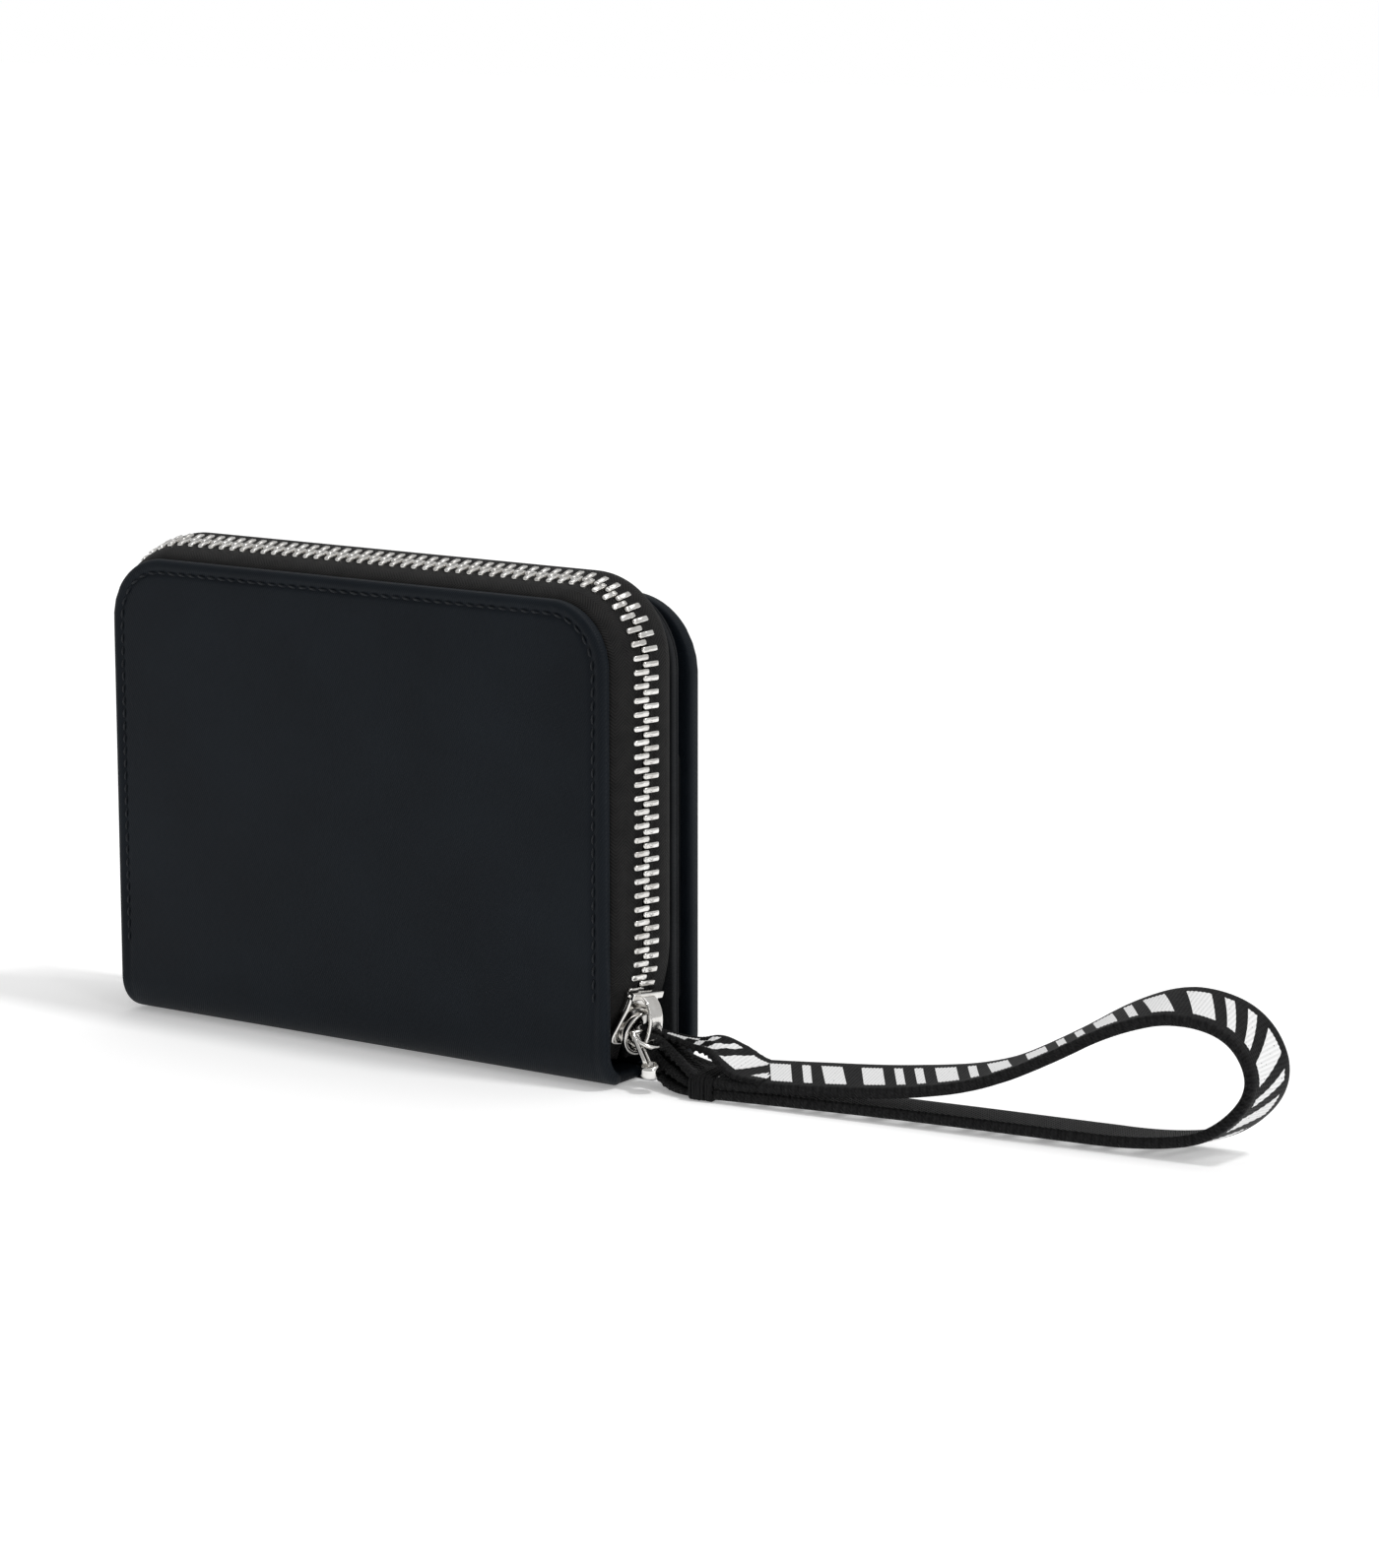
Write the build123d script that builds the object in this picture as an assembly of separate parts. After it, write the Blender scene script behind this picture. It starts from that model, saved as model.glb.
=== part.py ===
from build123d import *
import math
import os

# A fold-over wallet with a zip-around coin pocket in front and a wrist strap.
# It stands on its spine. +X runs along the width, -Y is the front, +Z is up, and the origin is the
# middle of the spine's flat underside. All sizes are in millimetres.

os.makedirs("parts", exist_ok=True)

# ---- overall sizes ----
DEPTH = 26.0                # front face to rear face
FRONT_WIDTH = 116.0         # front panel of the coin pocket
FRONT_TOP = 90.0
FRONT_CORNER = 12.0
REAR_WIDTH = 123.0          # middle panel and flap
MIDDLE_TOP = 90.5
FLAP_TOP = 88.6
REAR_CORNER = 14.0
LOW_CORNER = 2.0            # lower corners of every panel

# ---- spine, and the two fold lines beside it ----
FOLD_RADIUS = 7.0           # outer radius of the cloth where it turns up from the base
SPINE_WALL = 1.2
FOLD_WRAP = 30.0            # degrees that each turned-up edge runs past the vertical
PANEL_START = 5.45          # from a fold line up to the panel that turns about it

# ---- panel layers, outer face to inner face ----
CLOTH = 0.7
FRONT_BOARD = 1.1
LINING = 0.6
FLAP_BOARD = 1.6
FLAP_LINING = 0.5
NOTE_POCKET = 0.4
MIDDLE_FRONT = 4.0          # Y of the middle panel's front face
MIDDLE_BOARD = 1.0
BACKING = 0.4
CARD_LAYER = 0.35
CARD_TOPS = [70.0, 58.0, 46.0, 34.0]
CARD_WIDTH = 112.0
NOTE_TOP = 60.0

# ---- zip chain ----
CHAIN_HALF_WIDTH = 60.2     # middle of the chain, measured along X on the straight runs
CHAIN_TOP = 92.2
CHAIN_CORNER = 14.2
CHAIN_Y = -3.35
CHAIN_TURN = 13.0           # degrees that the chain faces towards the front
TUCK_ANGLE = 18.0           # degrees that both ends of the chain tuck inwards
TUCK_Z = 22.0
TUCK_RADIUS = 30.0
TUCK_LENGTH = 18.5
TOOTH_PITCH = 2.57
TOOTH_THICK = 1.05
TOOTH_HEIGHT = 2.2
TOOTH_OUTER = 2.9           # half the chain's width
MESH_HALF = 0.75            # half the width over which the two rows interlock
TAPE_THICK = 0.6
TAPE_EDGE = 1.8             # from the chain's middle to the end of each tape's middle line
TAPE_BEND = 4.0             # where each tape turns from the chain towards its panel
SLOT_END = 1.3
SLOT_GAP = 0.05
STOP_LENGTH = 3.0
TOOTH_CHAMFER = 0.3
FRONT_TAPE_INSET = 0.1      # from a panel's rim in to its tape, for each panel
REAR_TAPE_INSET = 0.5
FRONT_TAPE_SEWN = 5.0       # how far each tape runs on along its panel
REAR_TAPE_SEWN = 6.5

# ---- slider, ring and pull tab ----
MOUTH_FROM_TUCK = 4.2       # from the bend's corner down to the slider's mouth
SLIDER_LENGTH = 9.4
TAIL_WIDTH = 7.3
SHOULDER_WIDTH = 9.4
SHOULDER_SHARE = 0.62       # down the slider to its widest place and to its corners
CORNER_SHARE = 0.86
SLIDER_CORNER = 1.6
PLATE_CHAMFER = 0.3
WEDGE_SHARE = 0.45          # down the slider to the wedge's point
WEDGE_HALF = 1.5
LIP_SHARE = 0.5             # the part of the slider's length that has turned-in edges
LIP_SPREAD = 0.5
PLATE_THICK = 1.0
CHANNEL_HALF = 1.3
LIP_WIDTH = 0.55
LIP_DROP = 0.75
BRIDGE_WIDTH = 2.0
BRIDGE_BAR = 0.8
BRIDGE_RISE = 4.3
BRIDGE_START = 0.0
BRIDGE_LEAN = 0.45
BRIDGE_END = 8.4
RING_RADIUS = 4.5
RING_BAND = 0.8
RING_WIDTH = 2.2
RING_DOWN = 7.2             # from the slider's mouth down to the ring's middle
RING_OUT = 3.55             # from the chain's middle plane out to the ring's middle
TAB_PIVOT = (-0.15, -6.55, 5.15)    # in the slider's frame
TAB_LEAN = 18.0             # degrees that the tab hangs away from the slider's plate
TAB_LENGTH = 7.4            # pivot to the middle of the round end
EYE_WIDTH = 3.6
EYE_HOLE = 2.6
EYE_LENGTH = 1.8
TAB_THICK = 0.9
STEM_WIDTH = 1.6
STEM_RIM = 0.35
PUCK_RADIUS = 1.9
PUCK_THICK = 2.4
DIMPLE_RADIUS = 1.1

# ---- press stud ----
STUD_Z = 79.0
STUD_BASE_RADIUS = 4.0
STUD_BASE = 0.5
STUD_POST_RADIUS = 1.5
STUD_POST_TOP = 8.6
SOCKET_RADIUS = 4.5
SOCKET_BORE = 1.7
SOCKET_FRONT = 7.7
CAP_RADIUS = 5.0
CAP_THICK = 0.8

# ---- wrist strap ----
STRAP_WIDTH = 12.0
STRAP_THICK = 2.0
STRAP_TURN = 7.5            # degrees that the strap runs towards the rear, seen from above
STRAP_ORIGIN = (62.0, -3.5, 0.0)
SEAM_START = 10.5           # along the strap from its origin
SEAM_LENGTH = 5.0
SEAM_HEIGHT = 4.6
# The loop's centre line as (distance along the strap, height above the table)
LOOP_ROUTE = [(15.5, 1.3), (35.0, 1.5), (62.0, 1.6), (82.0, 1.5), (99.0, 1.5), (111.5, 4.0), (120.2, 13.6),
              (115.6, 24.0), (104.0, 27.0), (92.5, 23.2), (81.0, 16.2), (68.0, 9.6), (52.0, 6.6), (33.0, 4.9),
              (15.5, 4.0)]
# The fold through the ring as (X from its origin, height), from the seam's upper ply to its lower ply.
# The webbing is pinched there to a narrow roll.
FOLD_ORIGIN = (62.0, -1.6, 0.0)
FOLD_ROUTE = [(10.8, 3.6), (4.5, 7.9), (-1.4, 9.6), (-4.9, 8.0), (-4.4, 4.6), (-1.0, 3.6), (4.5, 1.5), (10.8, 1.0)]
FOLD_SIZE = 1.8
ARC_SHARE = 0.45            # the part of the shorter run that each rounded corner may take
PLATE_CLEARANCE = 0.1

HALF_DEPTH = DEPTH / 2
FOLD_Y = HALF_DEPTH - FOLD_RADIUS
PANEL_LOW = FOLD_RADIUS + PANEL_START
OVERSHOOT = 5.0             # how far cutting solids run past what they cut


def save(node, shape):
    """Write one named piece, which may be a group of separate solids."""
    export_step(shape, os.path.join("parts", node + ".step"))


def upright(y_rear):
    """The XZ plane at a given Y, for outlines that are extruded towards the front."""
    return Plane(origin=(0, y_rear, 0), x_dir=(1, 0, 0), z_dir=(0, -1, 0))


def rounded_outline(width, low, high, top_corner, low_corner):
    """A rectangle in (X, Z) with one radius on its upper corners and another on its lower ones."""
    outline = Pos(0, (low + high) / 2) * Rectangle(width, high - low)
    rows = outline.vertices().group_by(Axis.Y)
    outline = fillet(rows[-1], top_corner)
    return fillet(outline.vertices().group_by(Axis.Y)[0], low_corner)


def panel(width, low, high, y_front, y_rear, top_corner, low_corner=LOW_CORNER):
    """A flat upright panel between two Y values."""
    outline = rounded_outline(width, low, high, top_corner, low_corner)
    return extrude(upright(y_rear) * outline, y_rear - y_front)


def disc(radius, z, y_front, y_rear):
    """A round flat piece on the wallet's middle line, with its axis along Y."""
    return extrude(upright(y_rear) * Pos(0, z) * Circle(radius), y_rear - y_front)


def tray(width, high, y_outer, y_inner, top_corner, low=PANEL_LOW):
    """An outer cloth: a face and the turned edge round the board, with a recess for the board."""
    y_low, y_high = min(y_outer, y_inner), max(y_outer, y_inner)
    block = panel(width, low, high, y_low, y_high, top_corner)
    outward = 1.0 if y_outer > y_inner else -1.0
    face_inside = y_outer - outward * CLOTH
    past_inner = y_inner - outward * OVERSHOOT
    cut_low, cut_high = min(face_inside, past_inner), max(face_inside, past_inner)
    recess = panel(width - 2 * CLOTH, low + CLOTH, high - CLOTH, cut_low, cut_high,
                   top_corner - CLOTH, LOW_CORNER - CLOTH)
    return block - recess


# ---------------------------------------------------------------- front panel, middle panel and flap

def make_front_panel():
    """The coin pocket's front: cloth turned round a board, with a lining behind."""
    y_face = -HALF_DEPTH
    y_board = y_face + CLOTH
    y_lining = y_board + FRONT_BOARD
    inset = 2 * CLOTH
    save("front_cover", tray(FRONT_WIDTH, FRONT_TOP, y_face, y_lining, FRONT_CORNER))
    save("front_board", panel(FRONT_WIDTH - inset, PANEL_LOW + CLOTH, FRONT_TOP - CLOTH, y_board, y_lining,
                              FRONT_CORNER - CLOTH, LOW_CORNER - CLOTH))
    save("front_lining", panel(FRONT_WIDTH - inset, PANEL_LOW, FRONT_TOP - CLOTH, y_lining, y_lining + LINING,
                               FRONT_CORNER - CLOTH))


def make_middle_panel():
    """The wall between the coin pocket and the card slots."""
    low = SPINE_WALL
    y_board = MIDDLE_FRONT + LINING
    y_backing = y_board + MIDDLE_BOARD
    y_cards = y_backing + BACKING
    save("pocket_lining", panel(REAR_WIDTH, low, MIDDLE_TOP, MIDDLE_FRONT, y_board, REAR_CORNER))
    board = panel(REAR_WIDTH, low, MIDDLE_TOP, y_board, y_backing, REAR_CORNER)
    save("middle_board", board)
    save("card_backing", panel(REAR_WIDTH, low, MIDDLE_TOP, y_backing, y_cards, REAR_CORNER))
    for index, top in enumerate(CARD_TOPS):
        y_front = y_cards + index * CARD_LAYER
        slot = panel(CARD_WIDTH, PANEL_LOW, top, y_front, y_front + CARD_LAYER, CARD_LAYER)
        save("card_slot_" + str(index + 1), slot)


def make_flap():
    """The rear flap that folds over the card slots."""
    y_face = HALF_DEPTH
    y_board = y_face - CLOTH
    y_lining = y_board - FLAP_BOARD
    y_pocket = y_lining - FLAP_LINING
    inset = 2 * CLOTH
    save("flap_cover", tray(REAR_WIDTH, FLAP_TOP, y_face, y_lining, REAR_CORNER))
    board = panel(REAR_WIDTH - inset, PANEL_LOW + CLOTH, FLAP_TOP - CLOTH, y_lining, y_board,
                  REAR_CORNER - CLOTH, LOW_CORNER - CLOTH)
    cap = disc(CAP_RADIUS, STUD_Z, y_lining, y_lining + CAP_THICK)
    save("flap_board", board - cap)
    save("stud_cap", cap)
    save("flap_lining", panel(REAR_WIDTH - inset, PANEL_LOW, FLAP_TOP - CLOTH, y_pocket, y_lining,
                              REAR_CORNER - CLOTH))
    save("note_pocket", panel(CARD_WIDTH, PANEL_LOW, NOTE_TOP, y_pocket - NOTE_POCKET, y_pocket, NOTE_POCKET))
    ring = disc(SOCKET_RADIUS, STUD_Z, SOCKET_FRONT, y_pocket)
    save("stud_socket", ring - disc(SOCKET_BORE, STUD_Z, SOCKET_FRONT - OVERSHOOT, y_pocket + OVERSHOOT))


def make_stud():
    """The press stud's post, which the flap's socket snaps over."""
    y_base = MIDDLE_FRONT + LINING + MIDDLE_BOARD + BACKING
    base = disc(STUD_BASE_RADIUS, STUD_Z, y_base, y_base + STUD_BASE)
    post = disc(STUD_POST_RADIUS, STUD_Z, y_base, STUD_POST_TOP)
    save("stud_post", base + post)


def fold_profile(side):
    """The turned-up edge of the spine in (Y, Z), round the fold line on one side of the wallet."""
    with_centre = Pos(side * FOLD_Y, FOLD_RADIUS)
    ring = Circle(FOLD_RADIUS) - Circle(FOLD_RADIUS - SPINE_WALL)
    reach = 2 * FOLD_RADIUS
    angles = [-90.0, -45.0, 0.0, FOLD_WRAP / 2, FOLD_WRAP]
    rim = [(side * reach * math.cos(math.radians(a)), reach * math.sin(math.radians(a))) for a in angles]
    wedge = make_face(Polyline([(0, 0)] + rim + [(0, 0)]))
    return with_centre * (ring & wedge)


def make_spine():
    """The strip that joins the three panels and that the wallet stands on."""
    floor = Pos(0, SPINE_WALL / 2) * Rectangle(2 * FOLD_Y, SPINE_WALL)
    profile = floor + fold_profile(1) + fold_profile(-1)
    across = Plane(origin=(-REAR_WIDTH / 2, 0, 0), x_dir=(0, 1, 0), z_dir=(1, 0, 0))
    strip = extrude(across * profile, REAR_WIDTH)
    ends = panel(FRONT_WIDTH, 0, FRONT_TOP, -HALF_DEPTH - OVERSHOOT, HALF_DEPTH + OVERSHOOT, FRONT_CORNER)
    save("spine_cover", strip & ends)


# ---------------------------------------------------------------- zip

def chain_path():
    """The chain's middle line in (X, Z), from the slider's end up and over to the far end."""
    lean = math.radians(TUCK_ANGLE)
    tuck_x = CHAIN_HALF_WIDTH - TUCK_LENGTH * math.sin(lean)
    tuck_z = TUCK_Z - TUCK_LENGTH * math.cos(lean)
    corners = [(tuck_x, tuck_z), (CHAIN_HALF_WIDTH, TUCK_Z), (CHAIN_HALF_WIDTH, CHAIN_TOP),
               (-CHAIN_HALF_WIDTH, CHAIN_TOP), (-CHAIN_HALF_WIDTH, TUCK_Z), (-tuck_x, tuck_z)]
    radii = [TUCK_RADIUS, CHAIN_CORNER, CHAIN_CORNER, TUCK_RADIUS]
    return FilletPolyline(*[(x, CHAIN_Y, z) for x, z in corners], radius=radii)


def chain_frame(path, distance):
    """A plane on the chain: x across it towards the rear, y along it, z outwards."""
    point = path.position_at(distance, position_mode=PositionMode.LENGTH)
    along = path.tangent_at(distance, position_mode=PositionMode.LENGTH)
    outward = along.cross(Vector(0, 1, 0)) * -1
    turn = math.radians(CHAIN_TURN)
    across = Vector(0, 1, 0) * math.cos(turn) + outward * math.sin(turn)
    return Plane(origin=point, x_dir=across, z_dir=across.cross(along))


def tooth(side):
    """One tooth, reaching over the chain's middle from its own side, slotted to clasp the tape."""
    reach = TOOTH_OUTER + MESH_HALF
    bar = Pos(side * (TOOTH_OUTER - reach / 2), 0, 0) * Box(reach, TOOTH_THICK, TOOTH_HEIGHT)
    bar = chamfer(bar.edges().filter_by(Axis.Y), TOOTH_CHAMFER)
    slot_length = TOOTH_OUTER - SLOT_END + OVERSHOOT
    slot_middle = side * (SLOT_END + slot_length / 2)
    slot = Pos(slot_middle, 0, 0) * Box(slot_length, OVERSHOOT, TAPE_THICK + 2 * SLOT_GAP)
    return bar - slot


def make_teeth(path):
    """The two rows of teeth, half a pitch apart, from inside the slider to the far end."""
    start = TUCK_LENGTH - MOUTH_FROM_TUCK - TOOTH_PITCH
    end = path.length - TUCK_LENGTH + MOUTH_FROM_TUCK + TOOTH_PITCH
    count = int((end - start) / TOOTH_PITCH)
    for name, side, shift in (("zip_teeth_front", -1, 0.0), ("zip_teeth_rear", 1, TOOTH_PITCH / 2)):
        shape = tooth(side)
        row = [chain_frame(path, start + shift + index * TOOTH_PITCH) * shape for index in range(count)]
        save(name, Compound(row))
    last = start + count * TOOTH_PITCH + TOOTH_PITCH
    stop = Box(2 * TOOTH_OUTER, STOP_LENGTH, TOOTH_HEIGHT)
    slot = Box(4 * TOOTH_OUTER, 2 * STOP_LENGTH, TAPE_THICK + 2 * SLOT_GAP)
    middle = Box(2 * SLOT_END, STOP_LENGTH, TOOTH_HEIGHT)
    clamp = (stop - slot) + middle
    save("zip_bottom_stop", chain_frame(path, last + STOP_LENGTH / 2) * clamp)


def tape_profile(points, path):
    """A strip of tape through (Y, outward) points that are measured from the chain's middle."""
    start = path.position_at(0)
    along = path.tangent_at(0)
    outward = along.cross(Vector(0, 1, 0)) * -1
    section = Plane(origin=start, x_dir=(0, 1, 0), z_dir=Vector(0, 1, 0).cross(outward))
    line = Polyline(*points)
    strip = offset(line, TAPE_THICK / 2, kind=Kind.INTERSECTION, side=Side.BOTH)
    return section * make_face(strip)


def make_tapes(path):
    """The two zip tapes: each runs from its row of teeth to the panel that it is sewn to."""
    turn = math.radians(CHAIN_TURN)
    edge = (TAPE_EDGE * math.cos(turn), TAPE_EDGE * math.sin(turn))
    bend = (TAPE_BEND * math.cos(turn), TAPE_BEND * math.sin(turn))
    front_wall = -HALF_DEPTH + CLOTH + FRONT_BOARD + LINING - CHAIN_Y + TAPE_THICK / 2
    rear_wall = MIDDLE_FRONT - CHAIN_Y - TAPE_THICK / 2
    front_rim = FRONT_WIDTH / 2 - CLOTH - CHAIN_HALF_WIDTH - FRONT_TAPE_INSET
    rear_rim = REAR_WIDTH / 2 - CHAIN_HALF_WIDTH - REAR_TAPE_INSET
    front = [(-edge[0], -edge[1]), (-bend[0], -bend[1]), (front_wall, front_rim),
             (front_wall, front_rim - FRONT_TAPE_SEWN)]
    rear = [edge, bend, (rear_wall, rear_rim), (rear_wall, rear_rim - REAR_TAPE_SEWN)]
    for name, points in (("zip_tape_front", front), ("zip_tape_rear", rear)):
        save(name, sweep(tape_profile(points, path), path=path))


# ---------------------------------------------------------------- slider, ring and pull tab

def slider_frame(path):
    """The slider's own plane: x towards the rear, y up along the chain, z outwards, at its mouth."""
    return chain_frame(path, TUCK_LENGTH - MOUTH_FROM_TUCK)


def slider_plate(low, high):
    """One of the slider's two plates, wider at its lower end."""
    tail = TAIL_WIDTH / 2
    shoulder = SHOULDER_WIDTH / 2
    widest = -SHOULDER_SHARE * SLIDER_LENGTH
    corner = -CORNER_SHARE * SLIDER_LENGTH
    outline = Polyline((-tail, 0), (tail, 0), (shoulder, widest), (shoulder, corner),
                       (shoulder - SLIDER_CORNER, -SLIDER_LENGTH), (SLIDER_CORNER - shoulder, -SLIDER_LENGTH),
                       (-shoulder, corner), (-shoulder, widest), (-tail, 0))
    return Pos(0, 0, low) * extrude(make_face(outline), high - low)


def slider_lips():
    """The edges that turn in from both plates and hold the teeth in the slider."""
    half = TAIL_WIDTH / 2
    length = LIP_SHARE * SLIDER_LENGTH
    inner = half - LIP_WIDTH
    outline = Polyline((inner, 0), (half, 0), (half + LIP_SPREAD, -length), (inner + LIP_SPREAD, -length),
                       (inner, 0))
    right = extrude(make_face(outline), LIP_DROP)
    pair = right + mirror(right, Plane.YZ)
    upper = Pos(0, 0, CHANNEL_HALF - LIP_DROP) * pair
    lower = Pos(0, 0, -CHANNEL_HALF) * pair
    return upper + lower


def make_slider(path):
    """The slider's body: two plates, the wedge between them and the turned-in edges."""
    outer = slider_plate(CHANNEL_HALF, CHANNEL_HALF + PLATE_THICK)
    inner = slider_plate(-CHANNEL_HALF - PLATE_THICK, -CHANNEL_HALF)
    outer = chamfer(outer.faces().sort_by(Axis.Z)[-1].edges(), PLATE_CHAMFER)
    point = (0, -WEDGE_SHARE * SLIDER_LENGTH)
    wedge_line = Polyline(point, (WEDGE_HALF, -SLIDER_LENGTH), (-WEDGE_HALF, -SLIDER_LENGTH), point)
    wedge = Pos(0, 0, -CHANNEL_HALF) * extrude(make_face(wedge_line), 2 * CHANNEL_HALF)
    save("slider_body", slider_frame(path) * (outer + inner + wedge + slider_lips()))


def bridge_outline(drop, inset):
    """The bridge's side view in (along the slider, height above its plate)."""
    start = -BRIDGE_START - inset
    end = -BRIDGE_END + inset
    rise = BRIDGE_RISE - drop
    return Polyline((start, 0), (start - BRIDGE_LEAN, rise), (end + BRIDGE_LEAN, rise), (end, 0), (start, 0))


def make_bridge(path):
    """The arched bar on the slider that carries the ring and the pull tab."""
    side_view = Plane(origin=(BRIDGE_WIDTH / 2, 0, CHANNEL_HALF + PLATE_THICK), x_dir=(0, 1, 0), z_dir=(1, 0, 0))
    solid = extrude(side_view * make_face(bridge_outline(0, 0)), -BRIDGE_WIDTH)
    window = extrude(side_view * make_face(bridge_outline(BRIDGE_BAR, BRIDGE_BAR)), -BRIDGE_WIDTH)
    save("slider_bridge", slider_frame(path) * (solid - window))


def ring_solid(path):
    """The wide flat ring between the slider's bridge and the wrist strap."""
    band = Circle(RING_RADIUS) - Circle(RING_RADIUS - RING_BAND)
    ring = Pos(0, -RING_DOWN, RING_OUT - RING_WIDTH / 2) * extrude(band, RING_WIDTH)
    return slider_frame(path) * ring


def make_pull_tab(path):
    """The pull tab: an eye on the bridge, a thin rimmed stem and a thick round end with a dimple."""
    bar = BRIDGE_BAR / 2
    hole_end = -bar - EYE_LENGTH
    eye_low = hole_end - bar
    frame = Pos(0, (bar + eye_low) / 2) * Rectangle(EYE_WIDTH, bar - eye_low)
    hole = Pos(0, (hole_end - bar) / 2) * Rectangle(EYE_HOLE, EYE_LENGTH)
    eye = extrude(frame - hole, TAB_THICK / 2, both=True)
    stem_length = TAB_LENGTH + eye_low
    stem_middle = eye_low - stem_length / 2
    stem = Pos(0, stem_middle, 0) * Box(STEM_WIDTH, stem_length, TAB_THICK / 2)
    rim_x = STEM_WIDTH / 2 - STEM_RIM / 2
    rims = [Pos(side * rim_x, stem_middle, 0) * Box(STEM_RIM, stem_length, TAB_THICK) for side in (1, -1)]
    puck = Pos(0, -TAB_LENGTH, 0) * Cylinder(PUCK_RADIUS, PUCK_THICK)
    puck = fillet(puck.edges().filter_by(GeomType.CIRCLE), PUCK_THICK / 5)
    dimple = Pos(0, -TAB_LENGTH, PUCK_THICK / 2 + DIMPLE_RADIUS / 2) * Sphere(DIMPLE_RADIUS)
    placing = slider_frame(path) * Pos(*TAB_PIVOT) * Rot(-TAB_LEAN, 0, 0)
    save("pull_tab", placing * ((eye + stem + rims + puck) - dimple))


# ---------------------------------------------------------------- wrist strap

def strap_plane():
    """The upright plane that the strap's centre line lies in."""
    turn = math.radians(STRAP_TURN)
    return Plane(origin=STRAP_ORIGIN, x_dir=(math.cos(turn), math.sin(turn), 0),
                 z_dir=(math.sin(turn), -math.cos(turn), 0))


def corner_radii(route):
    """An arc for each inner point, as large as its two runs allow."""
    radii = []
    for before, here, after in zip(route, route[1:], route[2:]):
        first = Vector(here[0] - before[0], here[1] - before[1])
        second = Vector(after[0] - here[0], after[1] - here[1])
        turn = math.radians(first.get_angle(second))
        shorter = min(first.length, second.length)
        radii.append(ARC_SHARE * shorter / math.tan(turn / 2))
    return radii


def webbing(name, route, width, thickness):
    """A flat band along a route: straight runs joined by tangent arcs."""
    radii = corner_radii(route)
    path = FilletPolyline(*route, radius=radii)
    section_plane = Plane(origin=path.position_at(0), x_dir=(0, 0, 1), z_dir=path.tangent_at(0))
    band = sweep(section_plane * Rectangle(width, thickness), path=path)
    expected = path.length * width * thickness
    print(name, "length", round(path.length, 1), "radii", [round(r, 1) for r in radii],
          "volume", round(band.volume), "expected", round(expected))
    return band


def make_strap(path, ring):
    """The wrist loop, the fold through the ring, and the seam where both meet."""
    save("wrist_strap", strap_plane() * webbing("wrist_strap", LOOP_ROUTE, STRAP_WIDTH, STRAP_THICK))
    fold_plane = Plane(origin=FOLD_ORIGIN, x_dir=(1, 0, 0), z_dir=(0, -1, 0))
    fold = fold_plane * webbing("strap_fold", FOLD_ROUTE, FOLD_SIZE, FOLD_SIZE)
    top = CHANNEL_HALF + PLATE_THICK + PLATE_CLEARANCE
    room = Pos(0, -SLIDER_LENGTH / 2 - PLATE_CLEARANCE, 0) * Box(2 * SHOULDER_WIDTH, SLIDER_LENGTH, 2 * top)
    middle = SEAM_START + SEAM_LENGTH / 2
    seam = strap_plane() * Pos(middle, SEAM_HEIGHT / 2, 0) * Box(SEAM_LENGTH, SEAM_HEIGHT, STRAP_WIDTH)
    save("strap_fold", fold - ring - slider_frame(path) * room - seam)
    save("strap_seam", seam)


def main():
    """Build every piece."""
    make_front_panel()
    make_middle_panel()
    make_flap()
    make_stud()
    make_spine()
    path = chain_path()
    make_teeth(path)
    make_tapes(path)
    make_slider(path)
    make_bridge(path)
    ring = ring_solid(path)
    save("strap_ring", ring)
    make_pull_tab(path)
    make_strap(path, ring)


main()
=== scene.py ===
from math import acos, cos, pi, radians, sin, sqrt, tan

import bpy
import numpy as np
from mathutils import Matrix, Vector


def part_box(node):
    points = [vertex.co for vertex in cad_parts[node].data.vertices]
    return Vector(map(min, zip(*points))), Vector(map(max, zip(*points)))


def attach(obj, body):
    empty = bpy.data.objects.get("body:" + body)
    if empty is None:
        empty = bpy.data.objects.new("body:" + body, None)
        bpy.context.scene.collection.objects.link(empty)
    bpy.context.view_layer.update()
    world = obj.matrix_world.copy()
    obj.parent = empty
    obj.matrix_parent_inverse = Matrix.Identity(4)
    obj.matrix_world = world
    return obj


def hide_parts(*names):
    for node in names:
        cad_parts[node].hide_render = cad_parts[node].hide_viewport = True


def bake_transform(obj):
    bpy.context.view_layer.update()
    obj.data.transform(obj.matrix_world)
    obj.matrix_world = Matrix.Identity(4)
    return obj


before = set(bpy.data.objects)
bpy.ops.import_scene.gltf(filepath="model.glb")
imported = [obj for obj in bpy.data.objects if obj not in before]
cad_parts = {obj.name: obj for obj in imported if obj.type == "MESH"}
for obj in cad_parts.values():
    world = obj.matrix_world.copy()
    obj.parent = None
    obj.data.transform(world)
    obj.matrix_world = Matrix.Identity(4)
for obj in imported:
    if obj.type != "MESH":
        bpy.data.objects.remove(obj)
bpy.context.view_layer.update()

# A fold-over wallet with a zip-around coin pocket and a wrist strap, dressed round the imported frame.
# Lengths in this script are millimetres; meshes, lights and cords are given to Blender in metres.

MM = 0.001
rng = np.random.default_rng(7)

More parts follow.
